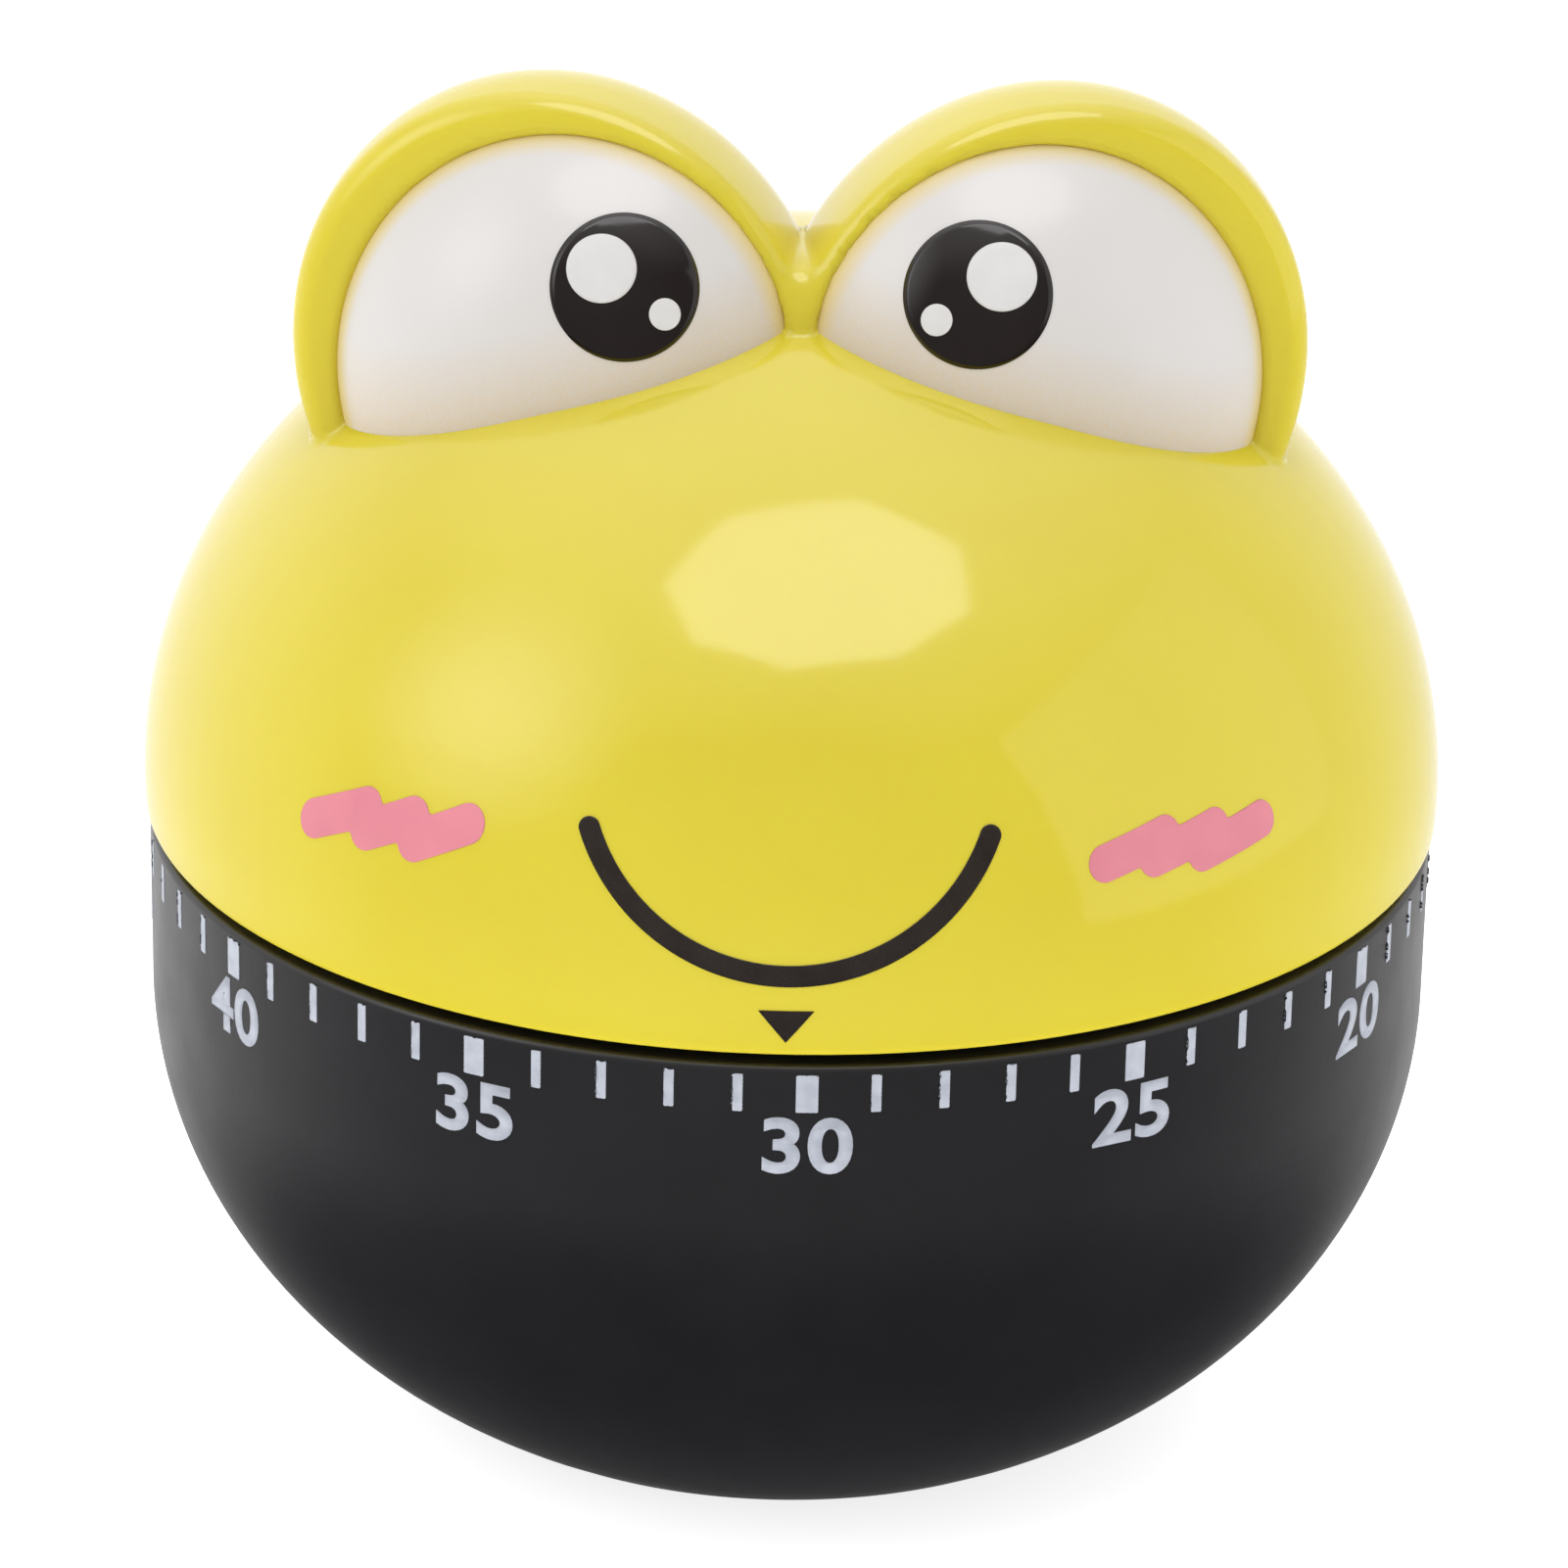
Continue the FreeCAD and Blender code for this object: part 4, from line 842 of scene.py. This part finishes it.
def white_finish(name, side):
    """White paint that turns yellow at the rim, partly yellow overspray and partly a painted glow of light
    bouncing off and through the yellow rim, with a fine spray of beige at the foot of the ball.
    """
    paint_light, paint_dark = (0.67, 0.645, 0.63), (0.655, 0.63, 0.615)
    # The yellow for the rim is partly overspray and partly painted glow of warm light from the yellow rim.
    beige, glow_and_overspray_yellow = (0.68, 0.53, 0.33), (0.75, 0.57, 0.15)
    paint_patch, spray_grain, gloss_patch, bump_grain = 9 * MM, 0.14 * MM, 3 * MM, 0.2 * MM
    made, tree, shader = new_material(name, Specular_IOR_Level=0.5, Coat_Weight=0.3, Coat_Roughness=0.08)
    right, up, _ = lid_axes(side)
    centre = lid_place(side) * MM
    place = tree.nodes.new("ShaderNodeTexCoord").outputs["Object"]

    def vector(operation, first, second):
        node = tree.nodes.new("ShaderNodeVectorMath")
        node.operation = operation
        tree.links.new(first, node.inputs[0])
        if second is not None:
            node.inputs[1].default_value = tuple(second)
        return node.outputs["Value" if operation in ("DOT_PRODUCT", "LENGTH") else "Vector"]

    local = vector("SUBTRACT", place, centre)
    across_up = tree.nodes.new("ShaderNodeCombineXYZ")
    tree.links.new(vector("DOT_PRODUCT", local, right / (OPENING_WIDE * MM)), across_up.inputs["X"])
    tree.links.new(vector("DOT_PRODUCT", local, up / (OPENING_TALL * MM)), across_up.inputs["Y"])
    to_rim = vector("LENGTH", across_up.outputs["Vector"], None)
    above = vector("SUBTRACT", place, np.array([0, 0, DOME_LEVEL]) * MM)
    to_dome = vector("LENGTH", vector("DIVIDE", above, DOME_SEMI * MM), None)
    near_foot = spread(tree, to_dome, 0.8, 0, 1.0, 1.13)
    spray = tree.nodes.new("ShaderNodeMath")
    spray.operation = "MULTIPLY"
    tree.links.new(near_foot, spray.inputs[0])
    tree.links.new(spread(tree, noise(tree, 1 / spray_grain, 2.0), 0.5, 1.0, 0.35, 0.65), spray.inputs[1])
    paint = mixed(tree, spread(tree, noise(tree, 1 / paint_patch), 0, 1), paint_light, paint_dark)
    sprayed = mixed(tree, spray.outputs[0], paint, beige)
    # Yellow ring at the opening's edge: partly overspray, partly painted glow of light bouncing off and
    # through the yellow rim.
    glow_and_overspray_at_rim = spread(tree, to_rim, 0, 1, 0.945, 1.02)
    tree.links.new(mixed(tree, glow_and_overspray_at_rim, sprayed, glow_and_overspray_yellow), shader.inputs["Base Color"])
    tree.links.new(spread(tree, noise(tree, 1 / gloss_patch), 0.3, 0.34), shader.inputs["Roughness"])
    bump(tree, shader, noise(tree, 1 / bump_grain), 0.3, 0.002 * MM)
    return made


# Each finish: two colours, patch, range of roughness, grain and its depth, then stretch and plain sockets.
YELLOW = finish_of("yellow_plastic_finish", (0.69, 0.582, 0.042), (0.665, 0.555, 0.037), 14.0,
                   (0.085, 0.115), 0.9, 0.004,
                   Subsurface_Weight=0.12, Subsurface_Scale=0.0015, Specular_IOR_Level=0.7)
YELLOW.node_tree.nodes["Principled BSDF"].inputs["Subsurface Radius"].default_value = (1.0, 0.7, 0.2)
BLACK = finish_of("black_plastic_finish", (0.0090, 0.0080, 0.0105), (0.0115, 0.0105, 0.0135), 8.0,
                  (0.35, 0.41), 0.35, 0.012,
                  Specular_IOR_Level=0.75, Sheen_Weight=0.06, Sheen_Roughness=0.3)
INK_BLACK = finish_of("black_ink", (0.016, 0.010, 0.008), (0.024, 0.017, 0.013), 2.0,
                      (0.22, 0.32), 0.3, 0.004)
INK_PUPIL = finish_of("pupil_ink", (0.0080, 0.0045, 0.0040), (0.0100, 0.0060, 0.0050), 2.0,
                      (0.07, 0.10), 0.5, 0.002, Specular_IOR_Level=0.6)
INK_WHITE = finish_of("white_ink", (0.70, 0.69, 0.685), (0.66, 0.65, 0.645), 1.5, (0.3, 0.4), 0.3, 0.004)
INK_SCALE = finish_of("scale_ink", (0.50, 0.53, 0.60), (0.40, 0.43, 0.50), 0.8, (0.4, 0.55), 0.25, 0.01)
INK_PINK = finish_of("pink_ink", (0.73, 0.235, 0.29), (0.68, 0.21, 0.265), 2.0, (0.3, 0.4), 0.3, 0.004)
BRASS = finish_of("brass_finish", (0.80, 0.56, 0.22), (0.70, 0.46, 0.17), 3.0,
                  (0.22, 0.36), 0.25, 0.006, (1, 1, 6), Metallic=1.0)
STEEL = finish_of("steel_finish", (0.62, 0.62, 0.63), (0.50, 0.50, 0.52), 2.0,
                  (0.2, 0.34), 0.2, 0.005, (1, 1, 8), Metallic=1.0)
SPRING_STEEL = finish_of("spring_steel_finish", (0.22, 0.24, 0.30), (0.30, 0.31, 0.35), 2.5,
                         (0.24, 0.38), 0.2, 0.004, (1, 1, 5), Metallic=1.0)
BELL_STEEL = finish_of("bell_finish", (0.78, 0.77, 0.74), (0.70, 0.69, 0.67), 4.0,
                       (0.1, 0.2), 0.4, 0.004, Metallic=1.0)
ACETAL = finish_of("white_plastic_finish", (0.80, 0.79, 0.75), (0.76, 0.75, 0.71), 6.0,
                   (0.38, 0.46), 0.5, 0.006, Subsurface_Weight=0.15, Subsurface_Scale=0.001)
FINISHES = {"yellow_plastic": YELLOW, "black_plastic": BLACK, "white_plastic": ACETAL, "brass": BRASS,
            "steel": STEEL, "spring_steel": SPRING_STEEL, "bell_steel": BELL_STEEL}


def dress_nodes():
    """Gives each CAD node the finish of its material slot in the record."""
    for row in frame["record"]["subparts"]:
        for slot in frame["nodes"][row["node"]].material_slots:
            slot.material = FINISHES[row["material_slot"]]


# ---- stage, light and camera ----

def look_from(place, target):
    way = (target - place).to_track_quat("-Z", "Y").to_matrix().to_4x4()
    return Matrix.Translation(place) @ way


def stage_piece(name, points, faces, material):
    mesh = bpy.data.meshes.new(name)
    mesh.from_pydata(points, [], faces)
    mesh.materials.append(material)
    piece = bpy.data.objects.new(name, mesh)
    bpy.context.scene.collection.objects.link(piece)
    return piece


def make_floor():
    """Pale paper that glows a little, so that the shadow on it stays soft."""
    size = 6.0
    made, tree, shader = new_material("floor_paper", Roughness=0.9, Specular_IOR_Level=0.1,
                                      Emission_Strength=0.8)
    shader.inputs["Emission Color"].default_value = (1, 1, 1, 1)
    tree.links.new(mixed(tree, noise(tree, 40.0), (0.93, 0.93, 0.93), (0.91, 0.91, 0.91)),
                   shader.inputs["Base Color"])
    corners = [(-size, -size, 0), (size, -size, 0), (size, size, 0), (-size, size, 0)]
    floor = stage_piece("floor", corners, [(0, 1, 2, 3)], made)
    floor.visible_glossy = False


def softbox(name, bearing, height, distance, wide, tall, strength, sides=8, fade=0.0):
    """Glowing panel with some sides, facing the head from a distance and size in metres.

    The bearing from the front towards +X and the height angle are in degrees. Panels of four or eight sides
    stand upright. With a fade, a panel turns clear over that outer share of its radius.
    """
    made = bpy.data.materials.new(name)
    made.use_nodes = True
    tree = made.node_tree
    tree.nodes.clear()
    output = tree.nodes.new("ShaderNodeOutputMaterial")
    glow = tree.nodes.new("ShaderNodeEmission")
    glow.inputs["Strength"].default_value = strength
    if fade:
        place = tree.nodes.new("ShaderNodeTexCoord")
        far = tree.nodes.new("ShaderNodeVectorMath")
        far.operation = "LENGTH"
        tree.links.new(place.outputs["Object"], far.inputs[0])
        clear = tree.nodes.new("ShaderNodeBsdfTransparent")
        blend = tree.nodes.new("ShaderNodeMixShader")
        clearness = spread(tree, far.outputs["Value"], 0, 1, 1 - fade, 1.0, "SMOOTHSTEP")
        tree.links.new(clearness, blend.inputs["Fac"])
        tree.links.new(glow.outputs["Emission"], blend.inputs[1])
        tree.links.new(clear.outputs["BSDF"], blend.inputs[2])
        tree.links.new(blend.outputs["Shader"], output.inputs["Surface"])
    else:
        tree.links.new(glow.outputs["Emission"], output.inputs["Surface"])
    turns = [2 * math.pi * (i + 0.5) / sides for i in range(sides)]
    corners = [(math.cos(t), math.sin(t), 0) for t in turns]
    panel = stage_piece(name, corners, [tuple(range(sides))], made)
    a, e = math.radians(bearing), math.radians(height)
    target = Vector((0, 0, 0.045))
    place = target + distance * Vector((math.sin(a) * math.cos(e), -math.cos(a) * math.cos(e), math.sin(e)))
    panel.matrix_world = look_from(place, target) @ Matrix.Diagonal((wide / 2, tall / 2, 1, 1))
    panel.visible_camera = False


def make_world():
    """Studio surround: bright behind and above the object, dimmer in front and to the right, dark below."""
    world = bpy.data.worlds.new("studio")
    bpy.context.scene.world = world
    world.use_nodes = True
    tree = world.node_tree
    surround = tree.nodes["Background"]
    place = tree.nodes.new("ShaderNodeTexCoord")
    split = tree.nodes.new("ShaderNodeSeparateXYZ")
    tree.links.new(place.outputs["Generated"], split.inputs["Vector"])

    def combined(operation, first, second):
        node = tree.nodes.new("ShaderNodeMath")
        node.operation = operation
        tree.links.new(first, node.inputs[0])
        tree.links.new(second, node.inputs[1])
        return node.outputs[0]

    depth = spread(tree, split.outputs["Y"], 0.27, 1.15, -0.3, 0.7)
    below = spread(tree, split.outputs["Z"], 0.04, 1.0, -0.62, -0.4)
    right = spread(tree, split.outputs["X"], 1.0, 0.68, 0.0, 0.8)
    above = spread(tree, split.outputs["Z"], 0, 0.8, 0.6, 0.95)
    around = combined("MULTIPLY", combined("MULTIPLY", depth, below), right)
    tree.links.new(combined("ADD", around, above), surround.inputs["Strength"])
    surround.inputs["Color"].default_value = (1.0, 0.99, 0.985, 1)


def make_camera():
    """Long lens from in front and above, aimed a little above the scale and to its left."""
    distance, height_angle, roll = 0.7327, math.radians(22.79), math.radians(1.2)
    aim_left, aim_up = math.radians(0.023459), math.radians(0.208006)
    target = Vector((0, 0, (TICK_TOP - TICK_TALL / 2) * MM))
    place = target + Vector((0, -math.cos(height_angle), math.sin(height_angle))) * distance
    camera = bpy.data.cameras.new("camera")
    camera.sensor_width = 36.0
    camera.lens = 329.5
    holder = bpy.data.objects.new("camera", camera)
    bpy.context.scene.collection.objects.link(holder)
    aim = Matrix.Rotation(aim_left, 4, "Y") @ Matrix.Rotation(aim_up, 4, "X")
    holder.matrix_world = look_from(place, target) @ Matrix.Rotation(roll, 4, "Z") @ aim
    camera.clip_start = 0.05
    bpy.context.scene.camera = holder


make_head(YELLOW)
make_bowl(BLACK)
for side, name in ((-1, "left"), (1, "right")):
    make_eyeball(side, f"eyeball_{name}", white_finish(f"white_paint_{name}", side))
    disc_on_ball(f"pupil_{name}", side, PUPIL, PRINT_LIFT, INK_PUPIL)
    disc_on_ball(f"glint_large_{name}", side, GLINT_LARGE, GLINT_LIFT, INK_WHITE)
    disc_on_ball(f"glint_small_{name}", side, GLINT_SMALL, GLINT_LIFT, INK_WHITE)
make_smile(INK_BLACK)
make_blush(INK_PINK)
make_pointer(INK_BLACK)
make_ticks(INK_SCALE)
make_numbers(INK_SCALE)
dress_nodes()
make_floor()
make_world()
softbox("softbox_above", bearing=15, height=76.6, distance=1.4, wide=1.17, tall=0.92, strength=3.3)
softbox("softbox_left", bearing=-66, height=33, distance=1.5, wide=1.7, tall=1.7, strength=2.3, sides=32,
        fade=0.95)
softbox("softbox_right", bearing=80, height=18, distance=1.5, wide=2.46, tall=1.98, strength=0.8, sides=4)
softbox("fill_front", bearing=0, height=35, distance=1.8, wide=2.6, tall=1.6, strength=0.3, sides=32,
        fade=0.9)
make_camera()
bpy.context.scene.view_settings.view_transform = "Standard"
